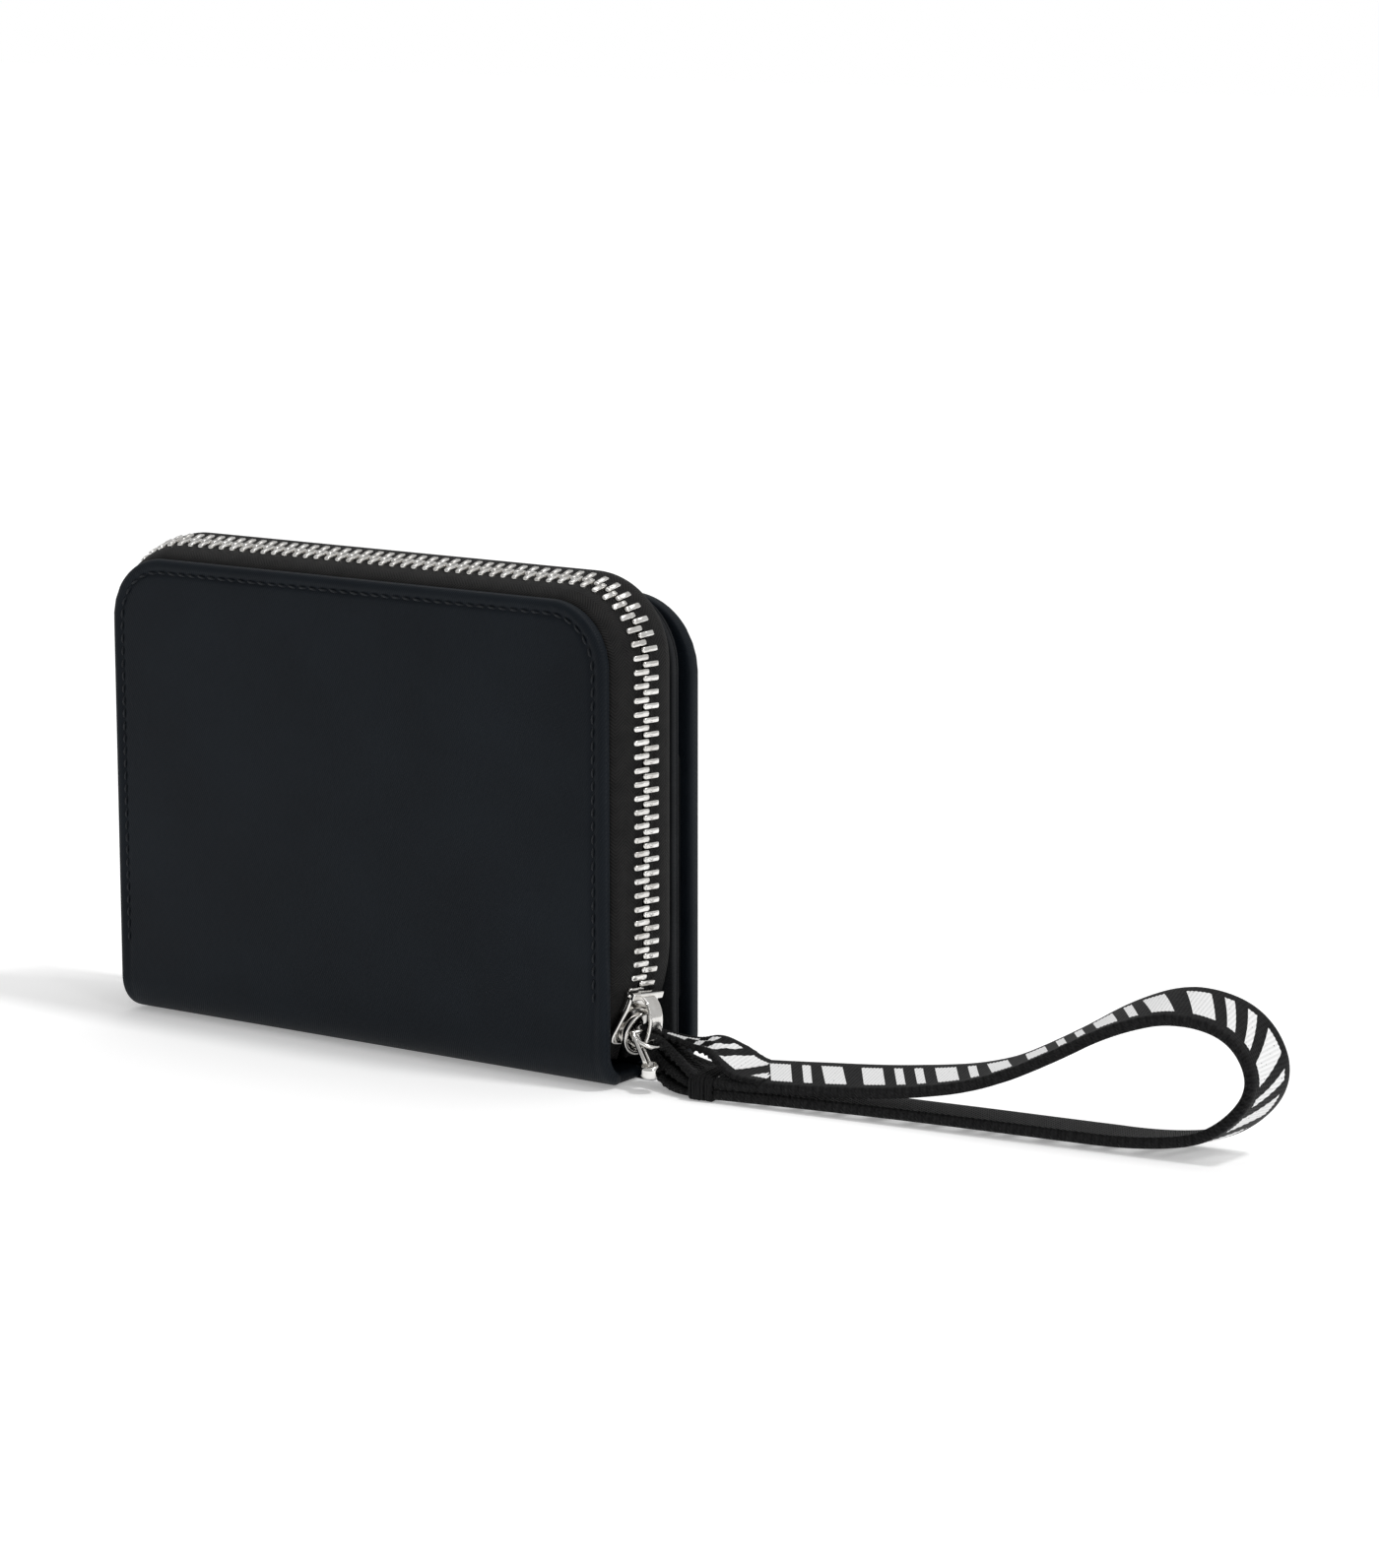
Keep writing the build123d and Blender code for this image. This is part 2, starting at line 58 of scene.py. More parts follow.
# ---- sizes, as in the CAD ----
HALF_DEPTH = 13.0
FOLD_Y = 6.0
FOLD_RADIUS = 7.0
PANEL_LOW = 12.45
LOW_CORNER = 1.2
STITCH_INSET = 2.5
STITCH_PITCH = 2.45
TURN_IN = 4.2
FRONT_HALF = 58.0
FRONT_TOP = 90.0
FRONT_CORNER = 12.0
REAR_HALF = 61.5
MIDDLE_TOP = 90.5
FLAP_TOP = 88.6
REAR_CORNER = 14.0
CHAIN_HALF = 60.2
CHAIN_TOP = 92.2
CHAIN_CORNER = 14.2
CHAIN_Y = -3.35
CHAIN_TURN = radians(13.0)
TUCK_ANGLE = radians(18.0)
TUCK_Z = 22.0
TUCK_RADIUS = 30.0
TUCK_LENGTH = 18.5
MOUTH_FROM_TUCK = 4.2
TOOTH_PITCH = 2.57
TOOTH_COUNT = 102
TAPE_HERRINGBONE = 1.9      # half the width of one herringbone stripe pair
STRAP_WIDTH = 12.0
STRAP_TURN = radians(7.5)
STRAP_ORIGIN = np.array((62.0, -3.5, 0.0))
# The loop's control points as (distance along the strap, height), and its twist in degrees, evenly spaced.
LOOP_ROUTE = [(15.5, 1.3), (35.0, 1.5), (62.0, 1.6), (82.0, 1.5), (99.0, 1.5), (111.5, 4.0), (120.2, 13.6),
              (115.6, 24.0), (104.0, 27.0), (92.5, 23.2), (81.0, 16.2), (68.0, 9.6), (52.0, 6.6), (33.0, 4.9),
              (15.5, 4.0)]
LOOP_TWIST = (-2, -4, -5, -5, -5, -8, -14, -15, -6, -4, -9, -10, -8)
STRAP_THICK = 2.0
RIB_PITCH = 0.7
STUD_Z = 79.0

# ---- cloth ----
BEAD = 1.05                 # radius of a cover's rolled edge
FRONT_THICK = 2.3           # each dressed panel's own thickness at its edge
FLAP_THICK = 2.9
EDGE_STEP = 0.9             # how far a lining stays inside its cover's edge
CARD_TOPS = (70.0, 58.0, 46.0, 34.0)
CARD_HALF = 56.0
CARD_LOW = 1.9
CARD_WALL_REAR = 6.0
CARD_STEP = 0.35            # from one card pocket to the next
POCKET_CORNER = 1.5
NOTE_HALF = 59.0
NOTE_TOP = 60.0
FLOOR_HALF = 6.3            # half the depth of the cloth inside the spine
FINE_THREAD = {"width": 0.34, "rise": 0.08}


# -------- camera, lights and floor

def place_object(name, data):
    """A new object in the scene that shows some data."""
    item = bpy.data.objects.new(name, data)
    bpy.context.scene.collection.objects.link(item)
    return item


def make_camera():
    """The viewing angle: from the front right, a little above."""
    azimuth, elevation = radians(34.13), radians(10.76)
    target = Vector((66.57, 2.0, 56.06)) * MM
    back = Vector((sin(azimuth) * cos(elevation), -cos(azimuth) * cos(elevation),
                   sin(elevation)))
    data = bpy.data.cameras.new("camera")
    data.sensor_width = 36.0
    data.lens = 106.83
    camera = place_object("camera", data)
    camera.location = target + back * 0.846
    camera.rotation_euler = (-back).to_track_quat("-Z", "Y").to_euler()
    bpy.context.scene.camera = camera


def area_light(name, place, aim, size, power):
    """A rectangular lamp at one point, aimed at another, in metres and watts."""
    data = bpy.data.lights.new(name, "AREA")
    data.shape = "RECTANGLE"
    data.size, data.size_y = size
    data.energy = power
    lamp = place_object(name, data)
    lamp.location = place
    lamp.rotation_euler = (Vector(aim) - Vector(place)).to_track_quat("-Z", "Y").to_euler()


def paint_world(tree):
    """White where the camera sees it; as light, dimmer in front of the wallet than behind it."""
    background = tree.nodes["Background"]
    background.inputs["Color"].default_value = (1.0, 1.0, 1.0, 1.0)
    coordinates = tree.nodes.new("ShaderNodeTexCoord")
    split = tree.nodes.new("ShaderNodeSeparateXYZ")
    tree.links.new(coordinates.outputs["Generated"], split.inputs[0])
    ahead = tree.nodes.new("ShaderNodeMapRange")
    ahead.interpolation_type = "SMOOTHSTEP"
    for name, value in (("From Min", -0.9), ("From Max", 0.1), ("To Min", 0.42), ("To Max", 0.60)):
        ahead.inputs[name].default_value = value
    tree.links.new(split.outputs["Y"], ahead.inputs["Value"])
    path = tree.nodes.new("ShaderNodeLightPath")
    either = tree.nodes.new("ShaderNodeMath")
    either.operation = "MAXIMUM"
    tree.links.new(path.outputs["Is Camera Ray"], either.inputs[0])
    tree.links.new(ahead.outputs[0], either.inputs[1])
    tree.links.new(either.outputs[0], background.inputs["Strength"])


def make_studio():
    """A white room, a key light from the right and two soft fills."""
    scene = bpy.context.scene
    scene.view_settings.view_transform = "Standard"
    world = bpy.data.worlds.new("studio")
    world.use_nodes = True
    scene.world = world
    paint_world(world.node_tree)
    sun = bpy.data.lights.new("key", "SUN")
    sun.energy = 1.15
    sun.angle = radians(7.0)
    place_object("key", sun).rotation_euler = Vector((0.465, 0.065, 0.883)).to_track_quat("Z", "Y").to_euler()
    area_light("right_strip", (0.62, -0.30, 0.34), (0.06, -0.004, 0.05), (0.10, 0.5), 0.55)
    area_light("top_box", (0.0, 0.25, 0.85), (0.0, 0.0, 0.05), (0.7, 0.35), 0.8)
    bpy.ops.mesh.primitive_grid_add(x_subdivisions=2, y_subdivisions=2, size=8.0, location=(0.0, 0.0, -0.00012))
    floor = bpy.context.object
    floor.name = "floor"
    shade = Nodes("floor_white", (0.9, 0.9, 0.9), 0.9, specular=0.0)
    shade.shader.inputs["Emission Color"].default_value = (1.0, 1.0, 1.0, 1.0)
    shade.shader.inputs["Emission Strength"].default_value = 0.27
    floor.data.materials.append(shade.material)


# -------- materials

class Nodes:
    """A small builder for one procedural material."""

    def __init__(self, name, colour, roughness, metallic=0.0, specular=0.5, sheen=0.0, sheen_rough=0.3,
                 sheen_tint=(1.0, 1.0, 1.0)):
        self.material = bpy.data.materials.new(name)
        self.material.use_nodes = True
        self.tree = self.material.node_tree
        self.shader = self.tree.nodes["Principled BSDF"]
        for socket, value in (("Base Color", (*colour, 1.0)), ("Roughness", roughness), ("Metallic", metallic),
                              ("Specular IOR Level", specular), ("Sheen Weight", sheen),
                              ("Sheen Roughness", sheen_rough), ("Sheen Tint", (*sheen_tint, 1.0))):
            self.shader.inputs[socket].default_value = value

    def add(self, kind):
        return self.tree.nodes.new("ShaderNode" + kind)

    def link(self, source, socket):
        self.tree.links.new(source, socket)

    def feed(self, socket, value):
        """Link a socket to another node's output, or set it to a constant."""
        if isinstance(value, bpy.types.NodeSocket):
            self.link(value, socket)
        else:
            socket.default_value = value

    def math(self, operation, first, second=0.0):
        node = self.add("Math")
        node.operation = operation
        for socket, value in zip(node.inputs, (first, second)):
            self.feed(socket, value)
        return node.outputs[0]

    def plus(self, first, second):
        return self.math("ADD", first, second)

    def times(self, first, second):
        return self.math("MULTIPLY", first, second)

    def weave(self):
        """The two cloth coordinates of a piece, in millimetres along its threads."""
        source = self.add("UVMap")
        source.uv_map = "weave"
        split = self.add("SeparateXYZ")
        self.link(source.outputs[0], split.inputs[0])
        return source.outputs[0], split.outputs[0], split.outputs[1]

    def place(self):
        return self.add("TexCoord").outputs["Object"]

    def wave(self, value, pitch):
        return self.math("SINE", self.times(value, 2 * pi / pitch))

    def noise(self, vector, scale, detail):
        node = self.add("TexNoise")
        node.inputs["Scale"].default_value = scale
        node.inputs["Detail"].default_value = detail
        self.feed(node.inputs["Vector"], vector)
        return node.outputs[0]

    def ramp(self, value, low, high, from_low=0.0, from_high=1.0):
        node = self.add("MapRange")
        for name, setting in (("Value", value), ("From Min", from_low), ("From Max", from_high),
                              ("To Min", low), ("To Max", high)):
            self.feed(node.inputs[name], setting)
        return node.outputs[0]

    def mix(self, factor, first, second):
        node = self.add("Mix")
        node.data_type = "RGBA"
        self.feed(node.inputs["Factor"], factor)
        for name, colour in (("A", first), ("B", second)):
            socket = [s for s in node.inputs if s.name == name and s.type == "RGBA"][0]
            self.feed(socket, colour if isinstance(colour, bpy.types.NodeSocket) else (*colour, 1.0))
        return [s for s in node.outputs if s.type == "RGBA"][0]

    def colour(self, factor, first, second):
        self.link(self.mix(factor, first, second), self.shader.inputs["Base Color"])

    def roughness(self, value):
        self.link(value, self.shader.inputs["Roughness"])

    def bump(self, height, depth, strength):
        node = self.add("Bump")
        node.inputs["Strength"].default_value = strength
        node.inputs["Distance"].default_value = depth * MM
        self.link(height, node.inputs["Height"])
        self.link(node.outputs[0], self.shader.inputs["Normal"])


def satin_material():
    """Blue-black satin with a fine steep twill and a soft sheen."""
    m = Nodes("nylon_satin_cloth", (0.012, 0.016, 0.022), 0.48, specular=0.1, sheen=0.008, sheen_rough=0.4,
              sheen_tint=(0.72, 0.84, 1.0))
    source, u, v = m.weave()
    twill = m.wave(m.plus(m.times(u, 0.9), m.times(v, -0.44)), 0.42)
    yarn = m.wave(v, 0.23)
    slub = m.noise(source, 0.9, 3.0)
    height = m.plus(m.plus(twill, m.times(yarn, 0.35)), m.times(slub, 0.3))
    m.bump(height, 0.03, 0.7)
    patch = m.noise(source, 0.045, 4.0)
    tone = m.plus(m.times(twill, 0.16), m.ramp(patch, 0.0, 1.0, 0.3, 0.7))
    m.colour(tone, (0.0040, 0.0062, 0.0092), (0.0080, 0.0112, 0.0152))
    m.roughness(m.ramp(patch, 0.46, 0.56, 0.3, 0.7))
    return m.material


def lining_material():
    """Matt black plain-weave lining."""
    m = Nodes("lining_cloth", (0.012, 0.013, 0.015), 0.72, specular=0.1, sheen=0.01, sheen_rough=0.5)
    source, u, v = m.weave()
    weave = m.plus(m.wave(u, 0.46), m.wave(v, 0.46))
    m.bump(weave, 0.02, 0.6)
    patch = m.noise(source, 0.07, 3.0)
    m.colour(m.ramp(patch, 0.0, 1.0, 0.3, 0.7), (0.008, 0.009, 0.0105), (0.0155, 0.0165, 0.018))
    return m.material


def tape_material():
    """Warm black zip tape with a herringbone weave: its ribs lean one way, then the other."""
    m = Nodes("zip_tape_cloth", (0.014, 0.013, 0.013), 0.66, specular=0.12, sheen=0.02, sheen_rough=0.45)
    source, u, v = m.weave()
    zigzag = m.math("PINGPONG", v, TAPE_HERRINGBONE)
    rib = m.wave(m.plus(u, zigzag), 0.66)
    off_middle = m.math("ABSOLUTE", m.math("SUBTRACT", zigzag, TAPE_HERRINGBONE / 2))
    spine = m.math("GREATER_THAN", off_middle, 0.86)
    height = m.math("SUBTRACT", rib, m.times(spine, 0.9))
    m.bump(height, 0.05, 0.8)
    patch = m.noise(source, 0.35, 3.0)
    tone = m.plus(m.times(rib, 0.42), m.ramp(patch, 0.2, 0.8, 0.3, 0.7))
    m.colour(tone, (0.0052, 0.0052, 0.0053), (0.0150, 0.0145, 0.0142))
    return m.material


def thread_material():
    """Dark polyester sewing thread."""
    m = Nodes("thread", (0.011, 0.015, 0.02), 0.45, specular=0.25, sheen=0.05)
    source, u, v = m.weave()
    m.bump(m.wave(m.plus(u, v), 0.22), 0.03, 0.7)
    m.colour(m.noise(source, 1.2, 1.0), (0.007, 0.0095, 0.013), (0.017, 0.022, 0.028))
    return m.material


def nickel_material(name, low, high):
    """Polished nickel plate with faint polishing marks and a little tarnish in places."""
    m = Nodes(name, (0.80, 0.79, 0.77), 0.14, metallic=1.0)
    source = m.place()
    cloud = m.noise(source, 260.0, 3.0)
    fine = m.noise(source, 2600.0, 2.0)
    m.roughness(m.ramp(cloud, low, high, 0.3, 0.7))
    m.colour(m.ramp(cloud, 0.0, 1.0, 0.35, 0.75), (0.84, 0.83, 0.81), (0.62, 0.60, 0.57))
    m.bump(fine, 0.01, 0.12)
    return m.material


def webbing_material():
    """Black ribbed webbing. A white geometric print runs along its face: leaning bars, thin and thick."""
    m = Nodes("webbing_cloth", (0.012, 0.012, 0.013), 0.58, specular=0.12, sheen=0.02, sheen_rough=0.4)
    source, u, v = m.weave()
    across = m.math("ABSOLUTE", u)
    period, thin, thick, print_half = 33.0, 1.7, 4.2, 3.9

    def bar(lean, start, width):
        """1 on one bar of every period, leaning across the strap."""
        shifted = m.plus(m.plus(v, m.times(u, lean)), 1000.0 * period - start)
        return m.math("LESS_THAN", m.math("MODULO", shifted, period), width)

    bars = bar(0.55, 1.0, thick)
    for start, width in ((7.6, thin), (11.6, thick), (18.2, thin), (22.2, thin), (26.2, thick)):
        bars = m.math("MAXIMUM", bars, bar(0.5, start, width))
    printed = m.times(bars, m.math("LESS_THAN", across, print_half))
    ribs = m.wave(v, RIB_PITCH)
    worn = m.math("GREATER_THAN", m.plus(m.noise(source, 2.4, 3.0), m.times(ribs, 0.035)), 0.3)
    printed = m.times(printed, worn)
    edge = m.math("GREATER_THAN", across, 6.1)
    rope = m.wave(m.plus(v, m.times(u, 1.1)), 1.15)
    height = m.plus(m.times(m.wave(u, 0.55), 0.35),
                    m.times(rope, m.times(edge, 2.2)))
    m.bump(height, 0.05, 0.8)
    patch = m.noise(source, 0.6, 3.0)
    tone = m.plus(m.times(ribs, 0.25), m.ramp(patch, 0.15, 0.85, 0.3, 0.7))
    black = m.mix(tone, (0.0036, 0.0036, 0.0039), (0.0125, 0.0125, 0.0130))
    white = m.mix(m.ramp(ribs, 0.0, 1.0, -1.0, 1.0), (0.72, 0.72, 0.72), (0.86, 0.86, 0.86))
    m.colour(printed, black, white)
    return m.material


# -------- mesh helpers

def new_object(name, solid, material, coords=None):
    """A mesh from (points in millimetres, faces, smooth flags). coords are its cloth coordinates, a pair a point."""
    points, faces, smooth = solid
    mesh = bpy.data.meshes.new(name)
    mesh.from_pydata((np.asarray(points, float) * MM).tolist(), [], faces)
    if coords is not None:
        layer = mesh.uv_layers.new(name="weave")
        index = np.zeros(len(mesh.loops), np.int32)
        mesh.loops.foreach_get("vertex_index", index)
        layer.data.foreach_set("uv", np.asarray(coords, np.float32)[index].ravel())
    mesh.validate()
    if len(smooth) == len(mesh.polygons):
        mesh.polygons.foreach_set("use_smooth", smooth)
    mesh.materials.append(material)
    return place_object(name, mesh)


def grid_faces(rows, columns, wrap_rows=False, wrap_columns=False, start=0):
    """Quads over a grid of points that is stored row by row."""
    faces = []
    for row in range(rows if wrap_rows else rows - 1):
        for column in range(columns if wrap_columns else columns - 1):
            a, b = row % rows, (row + 1) % rows
            c, d = column % columns, (column + 1) % columns
            faces.append((start + a * columns + c, start + a * columns + d,
                          start + b * columns + d, start + b * columns + c))
    return faces


def finish_piece(piece, body, nodes=()):
    """Put a piece on its body and in place of its CAD nodes."""
    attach(piece, body)
    if nodes:
        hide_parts(*nodes)
    return piece


def full_turn(step):
    """Angles once round, from a step in degrees."""
    return np.radians(np.arange(0, 360, step))


def flipped(solid):
    """The same solid with its faces turned over."""
    return (solid[0], [face[::-1] for face in solid[1]], *solid[2:])


def unit(vectors):
    """One vector, or each of several rows, scaled to length 1."""
    return vectors / np.linalg.norm(vectors, axis=-1, keepdims=True)


def distances_along(line):
    """How far along a line each of its points lies."""
    return np.concatenate([[0], np.cumsum(np.linalg.norm(np.diff(line, axis=0), axis=1))])


def squared(wave, exponent):
    """Cosines or sines drawn out towards a rectangle's sides; a smaller exponent gives sharper corners."""
    return np.sign(wave) * np.abs(wave) ** exponent


def arc(centre, radius, start, end, steps):
    """Points on an arc between two angles in degrees, both ends included."""
    angles = np.radians(np.linspace(start, end, steps))
    return np.stack([centre[0] + radius * np.cos(angles), centre[1] + radius * np.sin(angles)], 1)


def rounded_rectangle(half, low, high, top_corner, low_corner, steps=14):
    """A closed outline in (x, z), anticlockwise from the lower right."""
    low_x, top_x = half - low_corner, half - top_corner
    low_z, top_z = low + low_corner, high - top_corner
    return np.concatenate([arc((low_x, low_z), low_corner, -90, 0, steps),
                           arc((top_x, top_z), top_corner, 0, 90, steps),
                           arc((-top_x, top_z), top_corner, 90, 180, steps),
                           arc((-low_x, low_z), low_corner, 180, 270, steps)])


def closed_normals(outline):
    """Outward normals of a closed anticlockwise outline."""
    along = np.roll(outline, -1, 0) - np.roll(outline, 1, 0)
    along /= np.linalg.norm(along, axis=1)[:, None] + 1e-12
    return np.stack([along[:, 1], -along[:, 0]], 1)


def pillow(outline, low, high, rounding, steps=4):
    """A flat solid with rounded edges over an outline, as (x, y, height) points, with flat caps."""
    normals = closed_normals(outline)
    turns = np.linspace(0, pi / 2, steps)
    levels = [(rounding * (1 - sin(a)), low + rounding * (1 - cos(a))) for a in turns]
    levels += [(rounding * (1 - cos(a)), high - rounding * (1 - sin(a))) for a in turns]
    return tube_loft([np.column_stack([outline - normals * inset, np.full(len(outline), height)])
                      for inset, height in levels])


def merge(parts):
    """One list of points and faces from several."""
    points, faces, smooth, start = [], [], [], 0
    for part_points, part_faces, part_smooth in parts:
        points.append(part_points)
        faces += [tuple(start + i for i in face) for face in part_faces]
        smooth += part_smooth
        start += len(part_points)
    return np.concatenate(points), faces, smooth


def revolve(profile, steps=36):
    """A solid of revolution about the height axis, from (radius, height) points that start and end on it."""
    profile = np.asarray(profile, float)
    inner = profile[1:-1]
    angles = full_turn(360 / steps)
    rings = [np.stack([r * np.cos(angles), r * np.sin(angles), np.full(steps, h)], 1) for r, h in inner]
    points = np.concatenate(rings + [[[0, 0, profile[0][1]]], [[0, 0, profile[-1][1]]]])
    faces = grid_faces(len(inner), steps, wrap_columns=True)
    first, last = len(points) - 2, len(points) - 1
    top = (len(inner) - 1) * steps
    faces += [(first, (i + 1) % steps, i) for i in range(steps)]
    faces += [(last, top + i, top + (i + 1) % steps) for i in range(steps)]
    return points, faces, [True] * len(faces)


def tube_loft(rings, closed=False):
    """Skin over rings of points; open lofts get flat end caps."""
    rings = np.asarray(rings, float)
    rows, columns = rings.shape[:2]
    faces = grid_faces(rows, columns, wrap_rows=closed, wrap_columns=True)
    smooth = [True] * len(faces)
    if not closed:
        faces.append(tuple(range(columns))[::-1])
        faces.append(tuple(range((rows - 1) * columns, rows * columns)))
        smooth += [False, False]
    return rings.reshape(-1, 3), faces, smooth


def stitch_row(name, path, normals, body, slot, width=0.46, rise=0.2):
    """Separate stitches along a line in space, sunk at their ends like pulled thread."""
    pitch, length, tilt = STITCH_PITCH, 1.85, 0.06
    run = distances_along(path)
    count = int(run[-1] / pitch)
    stations = np.linspace(-1, 1, 7)
    around = full_turn(60)
    parts, coords = [], []
    for index in range(count):
        middle = (index + 0.5) * pitch
        at = [np.interp(middle + s * length / 2, run, path[:, k]) for s in (-1, 1) for k in range(3)]
        first, second = np.array(at[:3]), np.array(at[3:])
        normal = unit(np.array([np.interp(middle, run, normals[:, k]) for k in range(3)]))
        along = unit(second - first)
        side = np.cross(along, normal)
        lean = tilt + rng.uniform(-0.04, 0.04)
        rings = []
        for s in stations:
            fat = width / 2 * (0.35 + 0.65 * sqrt(max(0.0, 1 - s * s * 0.98)))
            lift = rise * (1 - s * s * 1.25) - 0.05
            centre = (first + second) / 2 + along * s * length / 2 + side * lean * s * length + normal * lift
            rings.append([centre + side * fat * cos(a) + normal * fat * 0.8 * sin(a) for a in around])
        parts.append(tube_loft(rings))
        coords += [(s * length / 2, a) for s in stations for a in around]
    return finish_piece(new_object(name, merge(parts), THREAD, coords), body)


# -------- cloth covers that cross a fold line

def profile_point(side, run, out):
    """A point on the outer cloth in (y, z): along the base, round the fold and up the panel."""
    y = np.where(run < 0, FOLD_Y + run, FOLD_Y)
    z = np.zeros_like(run)
    angle = np.clip(run / FOLD_RADIUS, 0, pi / 2)
    y = y + FOLD_RADIUS * np.sin(angle)
    z = z + FOLD_RADIUS * (1 - np.cos(angle)) + np.maximum(run - FOLD_RADIUS * pi / 2, 0)
    return side * (y + out * np.sin(angle)), z - out * np.cos(angle)


FOLD_RUN = FOLD_RADIUS * pi / 2


def spread(length, fine, coarse, depth):
    """Distances from 0 to length: closely spaced for the first few millimetres, then coarser."""
    near = [0.0, 0.03, 0.1, 0.22, 0.4, 0.62, 0.88, 1.15]
    near += list(np.arange(1.4, depth, fine))
    count = max(2, int((length - depth) / coarse))
    return np.array(near + list(np.linspace(depth, length, count)))


def outline_half(z, half, high, top_corner):
    """Half a cover's width at a height, inside its upper and lower corners."""
    over = max(0.0, z - (high - top_corner))
    width = half - top_corner + sqrt(max(0.0, top_corner ** 2 - over ** 2)) if over > 0 else half
    under = max(0.0, LOW_CORNER - z)
    return width - LOW_CORNER + sqrt(max(0.0, LOW_CORNER ** 2 - under ** 2))


def distance_to_edge(flat, edge):
    """How far each flat point lies from an edge of straight runs; taken in chunks to save memory."""
    starts, span = edge[:-1], edge[1:] - edge[:-1]
    length_squared = (span ** 2).sum(1) + 1e-12
    distance = np.full(len(flat), 1e9)
    for first in range(0, len(flat), 2000):
        chunk = flat[first:first + 2000]
        along = np.clip(((chunk[:, None] - starts) * span).sum(2) / length_squared, 0, 1)
        near = starts + along[:, :, None] * span
        distance[first:first + 2000] = np.linalg.norm(chunk[:, None] - near, axis=2).min(1)
    return distance


def cover_relief(flat, distance):
    """How far the outer cloth stands out: rolled edge, stitched groove, soft crown and small puckers."""
    rounding = np.where(distance < BEAD, np.sqrt(np.maximum(BEAD ** 2 - (BEAD - distance) ** 2, 0)) - BEAD, 0)
    groove = -0.3 * np.exp(-((distance - STITCH_INSET) / 0.5) ** 2)
    crown = 0.28 * (1 - np.exp(-np.maximum(distance - STITCH_INSET, 0) / 7.0))
    roll = 0.08 * np.exp(-((distance - 1.3) / 0.5) ** 2)
    upright = np.clip((flat[:, 1] - FOLD_RUN * 0.4) / (FOLD_RUN * 1.6), 0, 1)
    puckers = 0.035 * np.sin(flat.sum(1) * 2 * pi / STITCH_PITCH) * np.exp(-((distance - 1.8) / 0.9) ** 2)
    return rounding + (groove + roll + crown + puckers) * upright


def cover(name, side, half, high, top_corner, thickness, nodes):
    """The outer cloth of a panel and its half of the spine, with the turned edge all round its free sides."""
    top_run = high - FOLD_RADIUS + FOLD_RUN
    from_top = spread(top_run - FOLD_RUN - 8.0, 0.28, 2.4, 6.0)
    rows = np.concatenate([top_run - from_top, np.linspace(FOLD_RUN + 8.0, FOLD_RUN, 14)[1:],
                           np.linspace(FOLD_RUN, 0, 16)[1:], np.linspace(0, -FOLD_Y, 8)[1:]])[::-1]
    insets = spread(24.0, 0.3, 3.0, 6.0)
    share = np.linspace(-1, 1, 22)[1:-1]
    points = []
    for z in profile_point(side, rows, 0.0)[1]:
        width = outline_half(z, half, high, top_corner)
        points.append(np.concatenate([insets - width, share * (width - insets[-1]), (width - insets)[::-1]]))
    xs = np.array(points)
    ts = np.repeat(rows[:, None], xs.shape[1], axis=1)
    count_rows, count_columns = xs.shape
    border = [(r, 0) for r in range(count_rows)] + [(count_rows - 1, c) for c in range(1, count_columns)]
    border += [(r, count_columns - 1) for r in range(count_rows - 2, -1, -1)]
    edge = np.array([(xs[r, c], ts[r, c]) for r, c in border])
    flat = np.stack([xs.ravel(), ts.ravel()], 1)
    y, z = profile_point(side, flat[:, 1], cover_relief(flat, distance_to_edge(flat, edge)))
    vertices = [np.stack([flat[:, 0], y, z], 1)]
    coords = [flat]
    faces = grid_faces(count_rows, count_columns)
    tangent = np.gradient(edge, axis=0)
    tangent /= np.linalg.norm(tangent, axis=1)[:, None] + 1e-12
    normal = np.stack([-tangent[:, 1], tangent[:, 0]], 1)
    previous = [r * count_columns + c for r, c in border]
    # The turned edge as (distance in from the rim, height), from under the bead to the cloth's raw edge.
    turned = [(0.0, -BEAD - 0.5), (0.0, -thickness + 0.55), (0.12, -thickness + 0.22), (0.4, -thickness),
              (1.2, -thickness - 0.04), (TURN_IN, -thickness)]
    total = len(flat)
    for inset, out_level in turned:
        place = edge - normal * inset
        y, z = profile_point(side, place[:, 1], np.full(len(place), out_level))
        vertices.append(np.stack([place[:, 0], y, z], 1))
        coords.append(edge + normal * (abs(out_level) + inset))
        current = list(range(total, total + len(edge)))
        faces += list(zip(previous, previous[1:], current[1:], current))
        previous = current
        total += len(edge)
    solid = (np.concatenate(vertices), faces, [True] * len(faces))
    piece = new_object(name, flipped(solid) if side > 0 else solid, SATIN, np.concatenate(coords))
    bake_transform(piece)
    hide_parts(*nodes)


def cover_stitches(name, side, half, high, top_corner, inset, out, body, facing=1):
    """The row of stitches beside a panel's turned edge: up one side, over the top and down the other."""
    x = half - inset
    radius = top_corner - inset
    low, corner_z = 14.0, high - top_corner
    line = np.concatenate([[(-x, low)], arc((radius - x, corner_z), radius, 180, 90, 14),
                           arc((x - radius, corner_z), radius, 90, 0, 14), [(x, low)]])
    path = np.stack([line[:, 0], np.full(len(line), side * (HALF_DEPTH + out)), line[:, 1]], 1)
    normals = np.tile((0.0, float(side * facing), 0.0), (len(path), 1))
    stitch_row(name, path, normals, body, "nylon_satin")


# -------- linings and pockets

